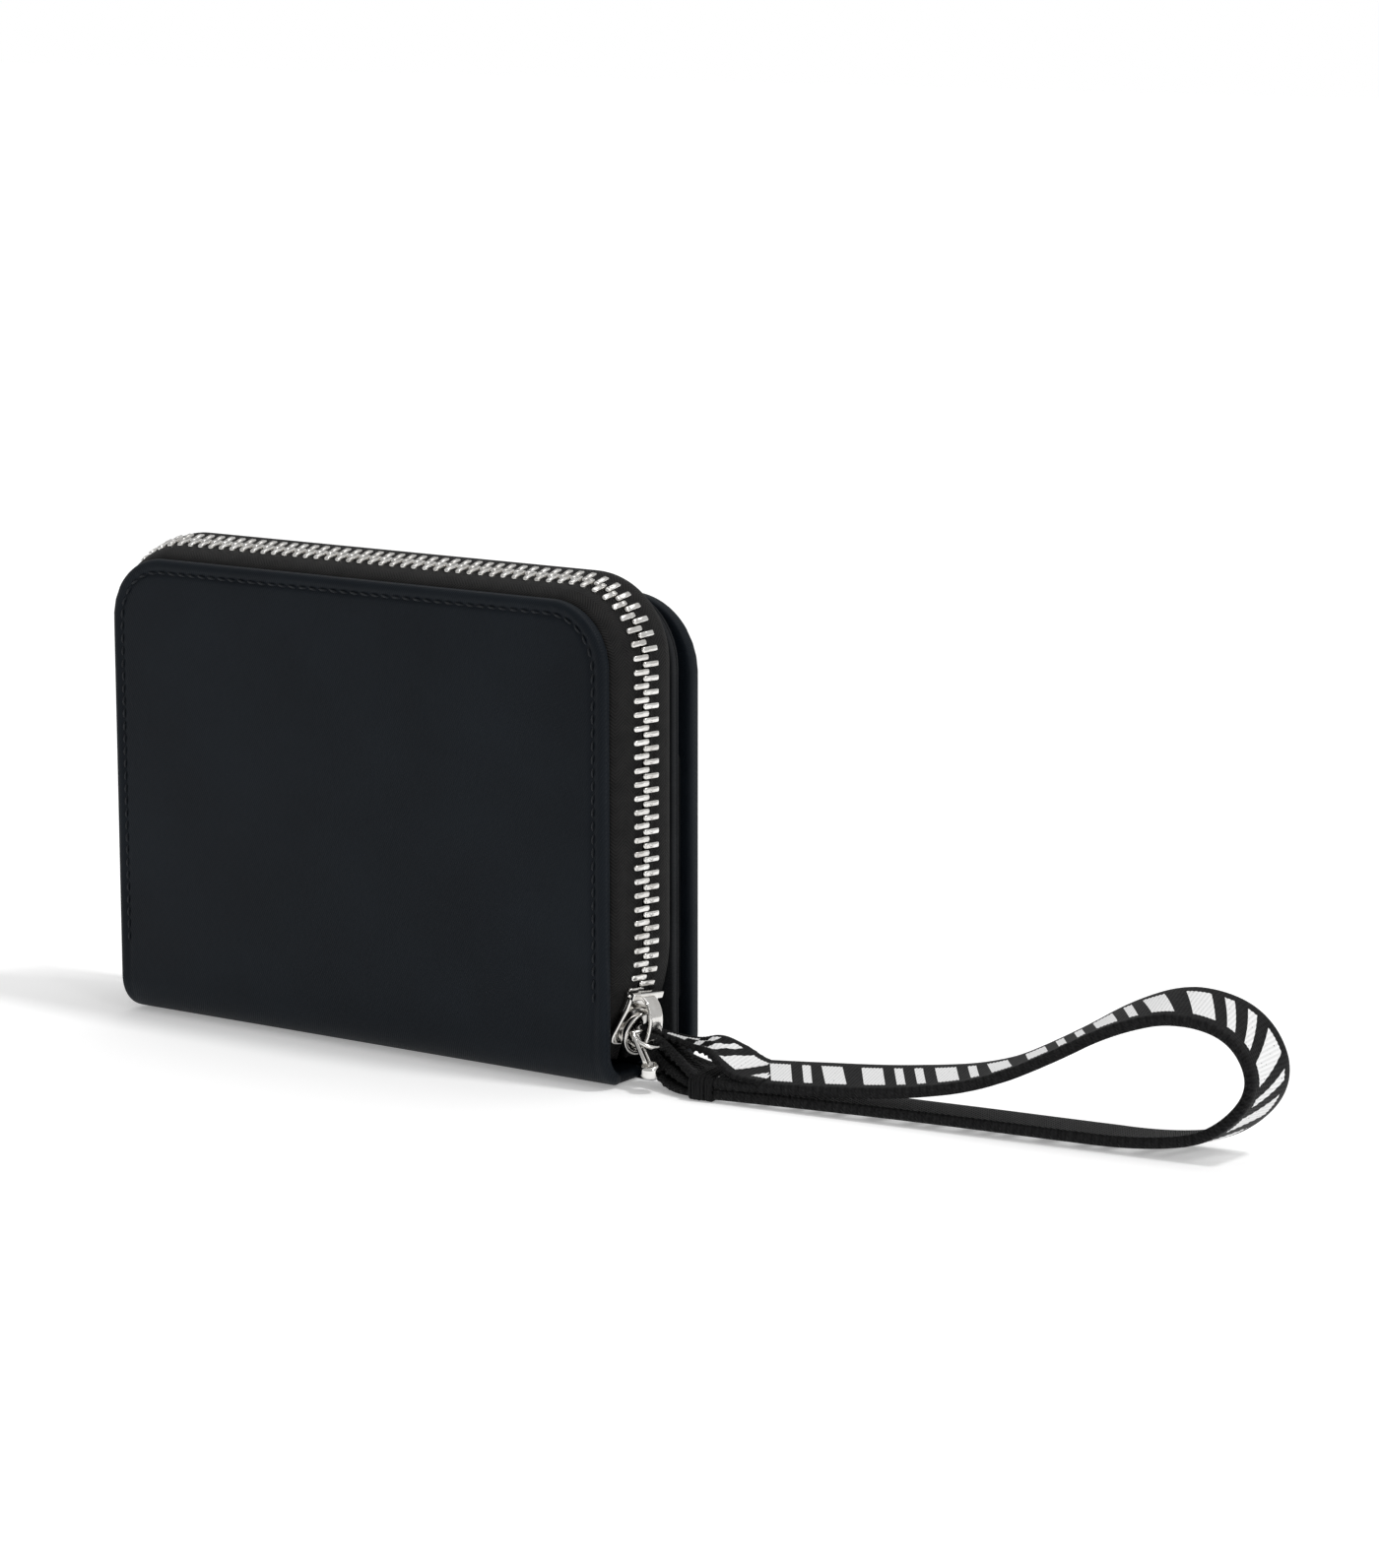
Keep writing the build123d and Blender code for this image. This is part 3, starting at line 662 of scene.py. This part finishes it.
def sheet_panel(name, half, low, high, corners, y_front, y_rear, body, nodes, hem=0.0):
    """A flat cloth panel with soft edges; a hem makes its upper edge a little thicker."""
    thick = y_rear - y_front
    points, faces, smooth = pillow(rounded_rectangle(half, low, high, *corners), 0.0, thick, min(0.45 * thick, 0.4))
    if hem:
        near_top = points[:, 1] > high - hem
        points[:, 2] += np.where(near_top & (points[:, 2] > thick / 2), 0.12, 0.0)
    upright = np.stack([points[:, 0], y_front + points[:, 2], points[:, 1]], 1)
    piece = new_object(name, flipped((upright, faces, smooth)), LINING, points[:, :2])
    finish_piece(piece, body, nodes)


def level_stitches(name, half, y, z, facing, body):
    """A straight level row of fine stitches on an upright sheet."""
    line = np.array([(x, y, z) for x in np.linspace(-half, half, 30)])
    stitch_row(name, line, np.tile((0.0, facing, 0.0), (30, 1)), body, "lining", **FINE_THREAD)


def make_linings():
    """Everything inside the panels: linings, boards' edges, card slots and the note pocket."""
    front_corners = (FRONT_CORNER - EDGE_STEP, LOW_CORNER)
    flap_corners = (REAR_CORNER - EDGE_STEP, LOW_CORNER)
    middle_corners = (REAR_CORNER, LOW_CORNER)
    sheet_panel("front_inner", FRONT_HALF - EDGE_STEP, PANEL_LOW, FRONT_TOP - EDGE_STEP, front_corners, -11.25,
                -10.62, "pocket_front", ("front_lining", "front_board"))
    sheet_panel("pocket_wall", REAR_HALF, 1.25, MIDDLE_TOP, middle_corners, 4.0, 5.4, "pouch",
                ("pocket_lining", "middle_board"))
    sheet_panel("card_wall", REAR_HALF, 1.25, MIDDLE_TOP, middle_corners, 5.42, CARD_WALL_REAR, "pouch",
                ("card_backing",))
    for index, top in enumerate(CARD_TOPS, start=1):
        rear = CARD_WALL_REAR + CARD_STEP * index
        sheet_panel(f"card_pocket_{index}", CARD_HALF, CARD_LOW, top, (POCKET_CORNER, POCKET_CORNER), rear - 0.33,
                    rear, "pouch", (f"card_slot_{index}",), hem=2.2)
        level_stitches(f"card_stitches_{index}", CARD_HALF - 1.5, rear + 0.02, top - 2.4, 1.0, "pouch")
    sheet_panel("flap_inner", REAR_HALF - EDGE_STEP, PANEL_LOW, FLAP_TOP - EDGE_STEP, flap_corners, 10.2, 10.72,
                "flap", ("flap_lining", "flap_board"))
    sheet_panel("note_sleeve", NOTE_HALF, PANEL_LOW, NOTE_TOP, (POCKET_CORNER, 2.0), 9.82, 10.18, "flap",
                ("note_pocket",))
    level_stitches("note_stitches", NOTE_HALF - 1.5, 9.8, NOTE_TOP - 2.4, -1.0, "flap")
    half = FRONT_HALF - 2.0
    solid = pillow(rounded_rectangle(half, -FLOOR_HALF, FLOOR_HALF, 1.2, 1.2), 0.72, 1.2, 0.2)
    piece = new_object("spine_floor", solid, LINING, solid[0][:, :2])
    finish_piece(piece, "pouch")


# -------- zip

def chain_line():
    """The chain's middle line in (x, z) from the slider's end over to the far end, and how far along it runs."""
    low_x = CHAIN_HALF - TUCK_LENGTH * sin(TUCK_ANGLE)
    low_z = TUCK_Z - TUCK_LENGTH * cos(TUCK_ANGLE)
    corners = np.array([(low_x, low_z), (CHAIN_HALF, TUCK_Z), (CHAIN_HALF, CHAIN_TOP), (-CHAIN_HALF, CHAIN_TOP),
                        (-CHAIN_HALF, TUCK_Z), (-low_x, low_z)])
    radii = [TUCK_RADIUS, CHAIN_CORNER, CHAIN_CORNER, TUCK_RADIUS]
    line = [corners[0]]
    for index, radius in enumerate(radii, start=1):
        before = unit(corners[index - 1] - corners[index])
        after = unit(corners[index + 1] - corners[index])
        half = acos(np.clip(before @ after, -1, 1)) / 2
        reach = radius / tan(half)
        centre = corners[index] + unit(before + after) * radius / sin(half)
        first = corners[index] + before * reach - centre
        for angle in np.linspace(0, pi - 2 * half, 24):
            c, s = cos(angle), sin(angle)
            line.append(centre + np.array((first[0] * c - first[1] * s, first[0] * s + first[1] * c)))
    line.append(corners[-1])
    line = np.array(line)
    run = distances_along(line)
    keep = np.concatenate([[True], np.diff(run) > 1e-6])
    return line[keep], run[keep]


CHAIN, CHAIN_RUN = chain_line()
REARWARD = np.array((0.0, 1.0, 0.0))


def chain_place(distance):
    """Axes at a distance along the chain: origin, across towards the rear, along, outwards."""
    def at(value):
        return np.array([np.interp(value, CHAIN_RUN, CHAIN[:, k]) for k in (0, 1)])
    distance = min(max(distance, 0.0), CHAIN_RUN[-1])
    here = at(distance)
    low, high = max(distance - 0.3, 0.0), min(distance + 0.3, CHAIN_RUN[-1])
    heading = unit(at(high) - at(low))
    along = np.array((heading[0], 0.0, heading[1]))
    outward = np.array((heading[1], 0.0, -heading[0]))
    across = REARWARD * cos(CHAIN_TURN) + outward * sin(CHAIN_TURN)
    out = np.cross(across, along)
    return np.array((here[0], CHAIN_Y, here[1])), across, along, out


def placed(points, place):
    """Local (across, along, out) points put into the wallet's space."""
    origin, across, along, out = place
    return origin + points[:, :1] * across + points[:, 1:2] * along + points[:, 2:3] * out


def cast(name, parts, material, body, node, place):
    """One metal piece from parts in a chain place's own axes."""
    points, faces, smooth = merge(parts)
    piece = new_object(name, (placed(points, place), faces, smooth), material)
    finish_piece(piece, body, (node,))


def tooth_shape(side):
    """One cast tooth: a rounded outer end, a bar that clasps the tape, and a head with a nib and a notch."""
    stations = [(2.98, 0.22, 0.55), (2.92, 0.42, 0.86), (2.78, 0.52, 1.02), (2.45, 0.565, 1.10), (1.6, 0.565, 1.10),
                (1.0, 0.54, 1.04), (0.75, 0.55, 1.06), (0.15, 0.56, 1.08), (-0.35, 0.54, 1.02), (-0.62, 0.40, 0.86),
                (-0.74, 0.20, 0.50)]
    angles = full_turn(22.5)
    rings = []
    for x, half_y, half_z in stations:
        c, s = np.cos(angles), np.sin(angles)
        y = half_y * squared(c, 0.4)
        z = half_z * squared(s, 0.45)
        notch = 0.30 if 0.0 < x < 0.8 else 0.0
        dimple = 0.16 if 2.2 < x < 2.9 else 0.0
        z = z - np.sign(s) * (notch + dimple) * np.exp(-(y / 0.26) ** 2) * (np.abs(s) > 0.6)
        rings.append(np.stack([np.full(len(y), side * x), y, z], 1))
    solid = tube_loft(rings)
    return flipped(solid) if side > 0 else solid


def make_teeth():
    """Both rows of teeth, half a pitch apart, and the bottom stop at the far end."""
    start = TUCK_LENGTH - MOUTH_FROM_TUCK - TOOTH_PITCH
    for name, side, shift, body, node in (("teeth_front_row", -1, 0.0, "pocket_front", "zip_teeth_front"),
                                          ("teeth_rear_row", 1, TOOTH_PITCH / 2, "pouch", "zip_teeth_rear")):
        shape = tooth_shape(side)
        parts = []
        for index in range(TOOTH_COUNT):
            distance = start + shift + index * TOOTH_PITCH
            wobble = rng.uniform(-0.03, 0.03, 3)
            parts.append((placed(shape[0] + wobble, chain_place(distance)), *shape[1:]))
        finish_piece(new_object(name, merge(parts), NICKEL), body, (node,))
    last = start + (TOOTH_COUNT + 1) * TOOTH_PITCH
    outline = rounded_rectangle(2.75, -1.5, 1.5, 0.7, 0.7, 6)
    parts = [pillow(outline, 0.4, 1.15, 0.3), pillow(outline, -1.15, -0.4, 0.3),
             pillow(rounded_rectangle(1.1, -1.4, 1.4, 0.4, 0.4, 4), -0.5, 0.5, 0.1)]
    cast("bottom_stop", parts, NICKEL, "pouch", "zip_bottom_stop", chain_place(last + 1.5))


def smooth_line(points, count):
    """A Catmull-Rom curve through a few points."""
    points = np.asarray(points, float)
    padded = np.concatenate([[2 * points[0] - points[1]], points, [2 * points[-1] - points[-2]]])
    result = []
    for t in np.linspace(0, len(points) - 1, count):
        k = min(int(t), len(points) - 2)
        f = t - k
        a, b, c, d = padded[k:k + 4]
        result.append(0.5 * (2 * b + (c - a) * f + (2 * a - 5 * b + 4 * c - d) * f * f
                             + (3 * b - a - 3 * c + d) * f ** 3))
    return np.array(result)


def make_tapes():
    """The two woven tapes, from the cord under the teeth to the seam in each panel."""
    lean = tan(CHAIN_TURN)
    front = [(-0.95, -0.95 * lean), (-2.0, -2.0 * lean), (-3.9, -0.75), (-5.7, -1.45), (-6.75, -2.35), (-6.98, -3.5),
             (-6.98, -6.5)]
    rear = [(0.95, 0.95 * lean), (2.0, 2.0 * lean), (3.8, 1.05), (5.4, 1.15), (6.6, 0.75), (7.02, -0.3),
            (7.02, -5.5)]
    distances = np.concatenate([np.arange(0.0, CHAIN_RUN[-1], 0.9), [CHAIN_RUN[-1]]])
    for name, line, body, node in (("tape_front", front, "pocket_front", "zip_tape_front"),
                                   ("tape_rear", rear, "pouch", "zip_tape_rear")):
        middle = smooth_line(line, 30)
        direction = unit(np.gradient(middle, axis=0))
        normal = np.stack([-direction[:, 1], direction[:, 0]], 1)
        width = distances_along(middle)
        thick = 0.29 + 0.35 * np.exp(-((width - 0.25) / 0.4) ** 2)
        section = np.concatenate([middle + normal * thick[:, None], (middle - normal * thick[:, None])[::-1]])
        across = np.concatenate([width, width[::-1]])
        rings, coords = [], []
        for distance in distances:
            origin, _, along, _ = chain_place(distance)
            outward = np.cross(REARWARD, along)
            ripple = 0.05 * sin(distance * 2 * pi / TOOTH_PITCH)
            swell = ripple * np.exp(-((across - 1.5) / 1.3) ** 2)
            rings.append(origin + section[:, :1] * REARWARD + (section[:, 1:2] + swell[:, None]) * outward)
            coords += [(distance, w) for w in across]
        solid = tube_loft(rings)
        piece = new_object(name, flipped(solid) if name == "tape_front" else solid, TAPE, coords)
        finish_piece(piece, body, (node,))


# -------- slider, ring and pull tab

SLIDER = chain_place(TUCK_LENGTH - MOUTH_FROM_TUCK)


def slider_outline():
    """The slider's shield shape: a flared tail, a waist and two wide shoulders."""
    right = [(3.75, 0.0), (3.7, -0.9), (3.55, -1.6), (3.75, -2.8), (4.35, -4.6), (5.0, -6.4), (5.6, -8.0),
             (5.75, -9.1), (5.2, -9.9), (3.2, -10.2)]
    left = [(-x, y) for x, y in right[::-1]]
    return smooth_closed(np.array(left + right)[::-1], 96)


def smooth_closed(points, count):
    """A closed smooth outline through points, evenly divided."""
    loops = np.concatenate([points[-2:], points, points[:3]])
    curve = smooth_line(loops, 40 * len(loops))
    size = len(curve)
    low = int(size * 2 / (len(loops) - 1))
    high = int(size * (2 + len(points)) / (len(loops) - 1))
    curve = curve[low:high]
    run = distances_along(curve)
    at = np.linspace(0, run[-1], count + 1)[:-1]
    result = np.stack([np.interp(at, run, curve[:, k]) for k in (0, 1)], 1)
    area = (result[:, 0] * np.roll(result[:, 1], -1) - np.roll(result[:, 0], -1) * result[:, 1]).sum()
    return result if area > 0 else result[::-1]


def band_loft(middle, width, thick):
    """A flat bar along a line in (along, out) coordinates, with rounded edges."""
    direction = unit(np.gradient(middle, axis=0))
    normal = np.stack([-direction[:, 1], direction[:, 0]], 1)
    angles = full_turn(20)
    a = width / 2 * squared(np.cos(angles), 0.3)
    b = thick / 2 * squared(np.sin(angles), 0.3)
    return tube_loft([np.stack([a, place[0] + b * out[0], place[1] + b * out[1]], 1)
                      for place, out in zip(middle, normal)])


def make_slider():
    """The cast slider body and its bridge."""
    outline = slider_outline()
    parts = [pillow(outline, 1.35, 2.3, 0.42, 5), pillow(outline * 0.97, -2.3, -1.3, 0.35, 4)]
    parts.append(pillow(rounded_rectangle(3.75, -0.95, 0.4, 0.25, 0.25, 4), 1.3, 3.05, 0.2, 3))
    wedge = smooth_closed(np.array([(0.0, -4.0), (-1.5, -9.2), (1.5, -9.2)]), 30)
    parts.append(pillow(wedge, -1.4, 1.4, 0.05, 2))
    for sign in (-1, 1):
        edge = np.array([(3.1, -0.1), (3.75, -0.1), (3.4, -1.8), (3.95, -4.2), (3.4, -4.2), (2.8, -1.8)])
        lip = smooth_closed(edge * (sign, 1.0), 30)
        parts += [pillow(lip, 0.45, 1.5, 0.1, 2), pillow(lip, -1.5, -0.45, 0.1, 2)]
    cast("slider_casting", parts, POLISHED, "slider", "slider_body", SLIDER)
    line = smooth_line([(-0.4, 2.3), (-0.9, 4.0), (-1.8, 5.2), (-3.2, 6.1), (-5.0, 6.6), (-7.0, 6.65), (-8.7, 6.05),
                        (-9.7, 4.9), (-9.9, 3.4), (-9.6, 2.2)], 60)
    cast("slider_arch", [band_loft(line, 3.1, 0.85)], POLISHED, "slider", "slider_bridge", SLIDER)


def make_ring():
    """The strap's ring: its section is a softened rectangle."""
    section = full_turn(20)
    radial = 4.1 + 0.4 * squared(np.cos(section), 0.6)
    height = 3.55 + 0.65 * squared(np.sin(section), 0.5)
    rings = [np.stack([radial * sin(angle), -7.2 + radial * cos(angle), height], 1)
             for angle in full_turn(5)]
    cast("band_ring", [tube_loft(rings, closed=True)], POLISHED, "ring", "strap_ring", SLIDER)


def make_pull_tab():
    """The pull tab: an eye round the bridge, a rimmed stem and a thick round end with a dimple."""
    top, end = np.array((-2.2, -7.0, 3.7)), np.array((-2.1, -11.6, 10.2))      # of the stem, in the slider's axes
    length = np.linalg.norm(end - top)
    down = (end - top) / length
    wide = unit(np.cross(down, (0.25, 0.35, 0.9)))
    stem_place = (top, wide, down, np.cross(wide, down))
    circle = full_turn(36)
    eye = smooth_line([top, (-0.6, -6.5, 4.3), (1.2, -6.5, 4.8), (2.3, -7.1, 5.6), (2.4, -7.9, 7.0),
                       (0.9, -8.4, 7.9), (-0.9, -8.3, 7.4), (-2.1, -8.0, 6.0), (-2.3, -7.5, 4.6), top], 60)
    rings = []
    for place, forward in zip(eye, unit(np.gradient(eye, axis=0))):
        side = unit(np.cross(forward, (0.0, 1.0, 0.15)))
        rise = np.cross(side, forward)
        rings.append(place + 0.42 * (np.cos(circle)[:, None] * side + np.sin(circle)[:, None] * rise))
    parts = [tube_loft(rings)]
    stem = pillow(np.array([(-0.7, 0.2), (-0.7, length - 1.2), (0.7, length - 1.2), (0.7, 0.2)])[::-1], -0.22, 0.22,
                  0.05, 2)
    parts.append((placed(stem[0], stem_place), *stem[1:]))
    for sign in (-1, 1):
        rim = smooth_line([(sign * 0.55, -0.1), (sign * 0.78, 1.6), (sign * 0.72, length - 1.3)], 14)
        tube = tube_loft([np.stack([x + 0.24 * np.cos(circle), np.full(len(circle), y), 0.45 * np.sin(circle)], 1)
                          for x, y in rim])
        parts.append((placed(tube[0], stem_place), *tube[1:]))
    profile = [(0, -1.2), (1.2, -1.2), (1.6, -1.1), (1.85, -0.8), (1.93, -0.3), (1.93, 0.4), (1.85, 0.85),
               (1.6, 1.12), (1.35, 1.2), (1.15, 1.12), (0.9, 0.8), (0.5, 0.62), (0, 0.58)]
    puck = revolve(profile)
    tilt = np.array((-0.24, 0.95, -0.20))
    left = np.array((0.95, 0.25, 0.05))
    parts.append((placed(puck[0], (end, left, np.cross(tilt, left), tilt)), *puck[1:]))
    cast("tab_casting", parts, POLISHED, "tab", "pull_tab", SLIDER)


# -------- wrist strap

STRAP_ALONG = np.array((cos(STRAP_TURN), sin(STRAP_TURN), 0.0))
STRAP_ACROSS = np.array((sin(STRAP_TURN), -cos(STRAP_TURN), 0.0))
UP = np.array((0.0, 0.0, 1.0))
UNPRINTED = 40.0            # added to cloth coordinates that must stay clear of the print
EDGE_PITCH = 1.6            # of the scallops along the webbing's edges


def route_line(route):
    """Points on the smooth line that a route's points control, read back from Blender."""
    data = bpy.data.curves.new("route", "CURVE")
    data.dimensions = "3D"
    spline = data.splines.new("NURBS")
    spline.points.add(len(route) - 1)
    for point, place in zip(spline.points, route):
        point.co = (*[float(v) * MM for v in place], 1.0)
    spline.order_u = 3
    spline.use_endpoint_u = True
    spline.resolution_u = 24
    holder = bpy.data.objects.new("route", data)
    mesh = bpy.data.meshes.new_from_object(holder)
    line = np.array([v.co for v in mesh.vertices]) / MM
    bpy.data.objects.remove(holder)
    bpy.data.curves.remove(data)
    bpy.data.meshes.remove(mesh)
    return line


def even_line(line, spacing):
    """The same line with evenly spaced points, and how far along each lies."""
    run = distances_along(line)
    at = np.linspace(0, run[-1], int(run[-1] / spacing) + 1)
    return np.stack([np.interp(at, run, line[:, k]) for k in range(3)], 1), at


def resample(values, share):
    """Evenly spaced settings, read at shares of the way along."""
    return np.interp(share, np.linspace(0, 1, len(values)), values)


def webbing_rings(line, at, widths, thick, outward_sign, pleats, twist):
    """Cross-sections of ribbed webbing along a line, with its cloth coordinates."""
    face, edge_round, edge_height = np.linspace(-1, 1, 15), 0.08, 0.31 * thick
    top = thick / 2
    rings, coords = [], []
    for place, direction, run, width, fold, turn in zip(line, unit(np.gradient(line, axis=0)), at, widths, pleats,
                                                        twist):
        outward = unit(np.cross(direction, STRAP_ACROSS) * outward_sign)
        c, s = cos(turn), sin(turn)
        wide, outward = STRAP_ACROSS * c + outward * s, outward * c - STRAP_ACROSS * s
        half = width / 2
        rib = 0.055 * sin(run * 2 * pi / RIB_PITCH)
        edge = half + 0.17 * sin(run * 2 * pi / EDGE_PITCH)
        ribbed = [(x * (half - 0.35), top + rib * (1 - abs(x) ** 6), x * 5.6) for x in face]
        sides = ribbed + [(edge - edge_round, edge_height, 6.4), (edge, 0.0, 7.2),
                          (edge - edge_round, -edge_height, 8.0)]
        sides += [(a, -b, 14.0 - u) for a, b, u in ribbed[::-1]]
        sides += [(edge_round - edge, -edge_height, 20.4), (-edge, 0.0, 21.2), (edge_round - edge, edge_height, -6.4)]
        rings.append([place + wide * a + outward * (b + fold * cos(2.7 * pi * a / max(half, 0.1)))
                      for a, b, u in sides])
        coords += [(u, run) for a, b, u in sides]
    return rings, coords


def strap_place(along, height, rearward=0.0):
    """A point measured along the strap, up from the table and to the rear of the strap's middle."""
    return STRAP_ORIGIN + STRAP_ALONG * along + UP * height - STRAP_ACROSS * rearward


def make_strap():
    """The wrist loop, the pleated webbing in the ring, and the bar-tacked seam between them."""
    line = route_line([strap_place(along, height) for along, height in LOOP_ROUTE])
    even, at = even_line(line, 0.175)
    lean = np.radians(resample(LOOP_TWIST, at / at[-1]))
    rings, coords = webbing_rings(even, at, np.full(len(at), STRAP_WIDTH - 0.1), STRAP_THICK, 1.0,
                                  np.zeros(len(at)), lean)
    loop = new_object("strap_loop", tube_loft(rings), WEBBING, coords)
    finish_piece(loop, "strap", ("wrist_strap",))
    fold = make_fold()
    seam = make_seam()


def ply(route, widths, thick, pleat, start_run, twist):
    """One layer of webbing between the ring and the seam: points, faces, smooth flags, cloth coordinates."""
    even, at = even_line(smooth_line(route, 160), 0.2)
    share = np.linspace(0, 1, len(at))
    width = np.convolve(np.pad(resample(widths, share), 8, mode="edge"), np.ones(17) / 17, "valid")
    lean = np.radians(resample(twist, share))
    rings, coords = webbing_rings(even, at + start_run, width, thick, -1.0, resample(pleat, share), lean)
    return flipped((*tube_loft(rings), coords))


def make_fold():
    """The webbing pinched in the ring: a printed upper ply, two pleated plies and a low one."""
    at = strap_place
    plies = [
        ([at(-1.8, 10.9, 0.2), at(0.0, 10.1, 0.9), at(2.2, 9.4, 1.5), at(5.0, 9.0, 1.4), at(9.0, 8.7, 0.8),
          at(13.0, 9.0, 0.2), at(16.5, 7.4, 0.0), at(20.0, 5.6, 0.0), at(25.0, 4.7, 0.0)],
         (2.6, 2.6, 3.2, 5.0, 8.0, 11.0, 11.9, 11.9), 1.0, (0.25, 0.3, 0.3, 0.15, 0.0, 0.0), 6.5, (4, 0, -14, -8, 0)),
        ([at(-1.4, 11.6, -0.4), at(0.2, 9.4, 0.7), at(3.2, 7.2, 1.2), at(7.0, 5.4, 0.5), at(11.5, 3.7, 0.0)],
         (2.8, 3.2, 6.5, 9.5, 11.6), 1.2, (0.35, 0.6, 0.6, 0.35, 0.05), 100.0, (0, 10, 12, 0)),
        ([at(-1.3, 10.2, -0.6), at(0.3, 7.2, 0.5), at(2.8, 4.8, 1.1), at(7.0, 3.3, 0.4), at(11.5, 2.3, 0.0)],
         (2.8, 3.4, 7.0, 10.0, 11.6), 1.2, (0.3, 0.55, 0.55, 0.3, 0.05), 140.0, (0, -6, 4, 0)),
        ([at(-0.9, 8.8, -0.2), at(0.6, 5.2, 0.7), at(2.9, 2.3, 0.9), at(6.5, 1.25, 0.3), at(11.5, 1.05, 0.0)],
         (2.8, 3.8, 7.6, 10.4, 11.6), 1.2, (0.2, 0.3, 0.25, 0.1, 0.0), 180.0, (0, 0, 0)),
    ]
    parts, coords = [], []
    for index, settings in enumerate(plies):
        *solid, cloth = ply(*settings)
        parts.append(solid)
        coords.append(np.array(cloth) + (UNPRINTED if index else 0.0, 0.0))
    piece = new_object("strap_pleats", merge(parts), WEBBING, np.concatenate(coords))
    return finish_piece(piece, "strap", ("strap_fold",))


def make_seam():
    """The bar tack: dense cross threads round both legs of the strap."""
    parts, coords = [], []
    section = full_turn(60)
    half = 6.05
    for u in np.linspace(11.0, 14.9, 9):
        corners = rounded_rectangle(half, 0.25, 4.75 - 0.25 * abs(u - 13.0), 1.0, 0.8, 5)
        corners = corners + rng.normal(0, 0.05, corners.shape)
        rings = []
        lean = rng.uniform(-0.25, 0.25)
        for place, out in zip(corners, closed_normals(corners)):
            centre = strap_place(u + lean * place[0] / half, place[1], place[0])
            side = -STRAP_ACROSS * out[0] + UP * out[1]
            rings.append([centre + STRAP_ALONG * 0.34 * cos(a) + side * 0.3 * sin(a) for a in section])
        parts.append(tube_loft(rings, closed=True))
        coords += [(index * 0.5 + UNPRINTED + 20.0, a) for index in range(len(rings)) for a in section]
    block = pillow(rounded_rectangle(5.95, 0.3, 4.4, 0.8, 0.8, 6), 10.6, 15.3, 0.5)
    parts.append((placed(block[0], (STRAP_ORIGIN, -STRAP_ACROSS, UP, STRAP_ALONG)), *block[1:]))
    coords += [(UNPRINTED + 20.0 + x, y) for x, y in block[0][:, :2]]
    piece = new_object("strap_tack", merge(parts), WEBBING, coords)
    return finish_piece(piece, "strap", ("strap_seam",))


# -------- press stud

def make_stud():
    """The press stud: cap and socket on the flap, post on the middle panel."""
    for name, node, body, facing in (("stud_button", "stud_cap", "flap", 1), ("stud_cup", "stud_socket", "flap", -1),
                                     ("stud_pin", "stud_post", "pouch", 1)):
        low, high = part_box(node)
        span = (high[1] - low[1]) / MM
        radius = (high[0] - low[0]) / MM / 2
        profiles = {
            "stud_cap": [(0, 0), (4.2, 0), (4.85, 0.08), (5.0, 0.3), (4.8, 0.5), (3.6, 0.72), (0, 0.8)],
            "stud_socket": [(0, 0), (radius - 0.4, 0), (radius, 0.3), (radius, span * 0.5),
                            (radius - 0.9, span * 0.75), (radius - 1.6, span - 0.1), (2.2, span),
                            (1.75, span - 0.3), (1.7, 0.5), (0, 0.5)],
            "stud_post": [(0, 0), (radius - 0.2, 0), (radius, 0.15), (radius - 0.1, 0.4), (1.9, 0.5), (1.35, 0.8),
                          (1.3, span - 1.2), (1.5, span - 0.7), (1.3, span - 0.15), (0, span)]}
        points, faces, smooth = revolve(profiles[node])
        start = (low if facing > 0 else high)[1] / MM
        solid = (np.stack([points[:, 0], start + facing * points[:, 2], STUD_Z + points[:, 1]], 1), faces, smooth)
        piece = new_object(name, flipped(solid) if facing > 0 else solid, POLISHED)
        finish_piece(piece, body, (node,))


# -------- everything, cord and camera first

make_camera()
make_studio()
SATIN = satin_material()
LINING = lining_material()
TAPE = tape_material()
THREAD = thread_material()
NICKEL = nickel_material("tooth_nickel", 0.16, 0.26)
POLISHED = nickel_material("polished_nickel", 0.08, 0.16)
WEBBING = webbing_material()
make_strap()
cover("front_cloth", -1, FRONT_HALF, FRONT_TOP, FRONT_CORNER, FRONT_THICK,
      ("front_cover", "spine_cover"))
cover_stitches("front_stitches", -1, FRONT_HALF, FRONT_TOP, FRONT_CORNER, STITCH_INSET, -0.16, "pocket_front")
cover("flap_cloth", 1, REAR_HALF, FLAP_TOP, REAR_CORNER, FLAP_THICK, ("flap_cover",))
cover_stitches("flap_stitches", 1, REAR_HALF, FLAP_TOP, REAR_CORNER, STITCH_INSET, -0.16, "flap")
cover_stitches("flap_inner_stitches", 1, REAR_HALF, FLAP_TOP, REAR_CORNER, 4.6, -2.83, "flap", facing=-1)
make_linings()
make_teeth()
make_tapes()
make_slider()
make_ring()
make_pull_tab()
make_stud()
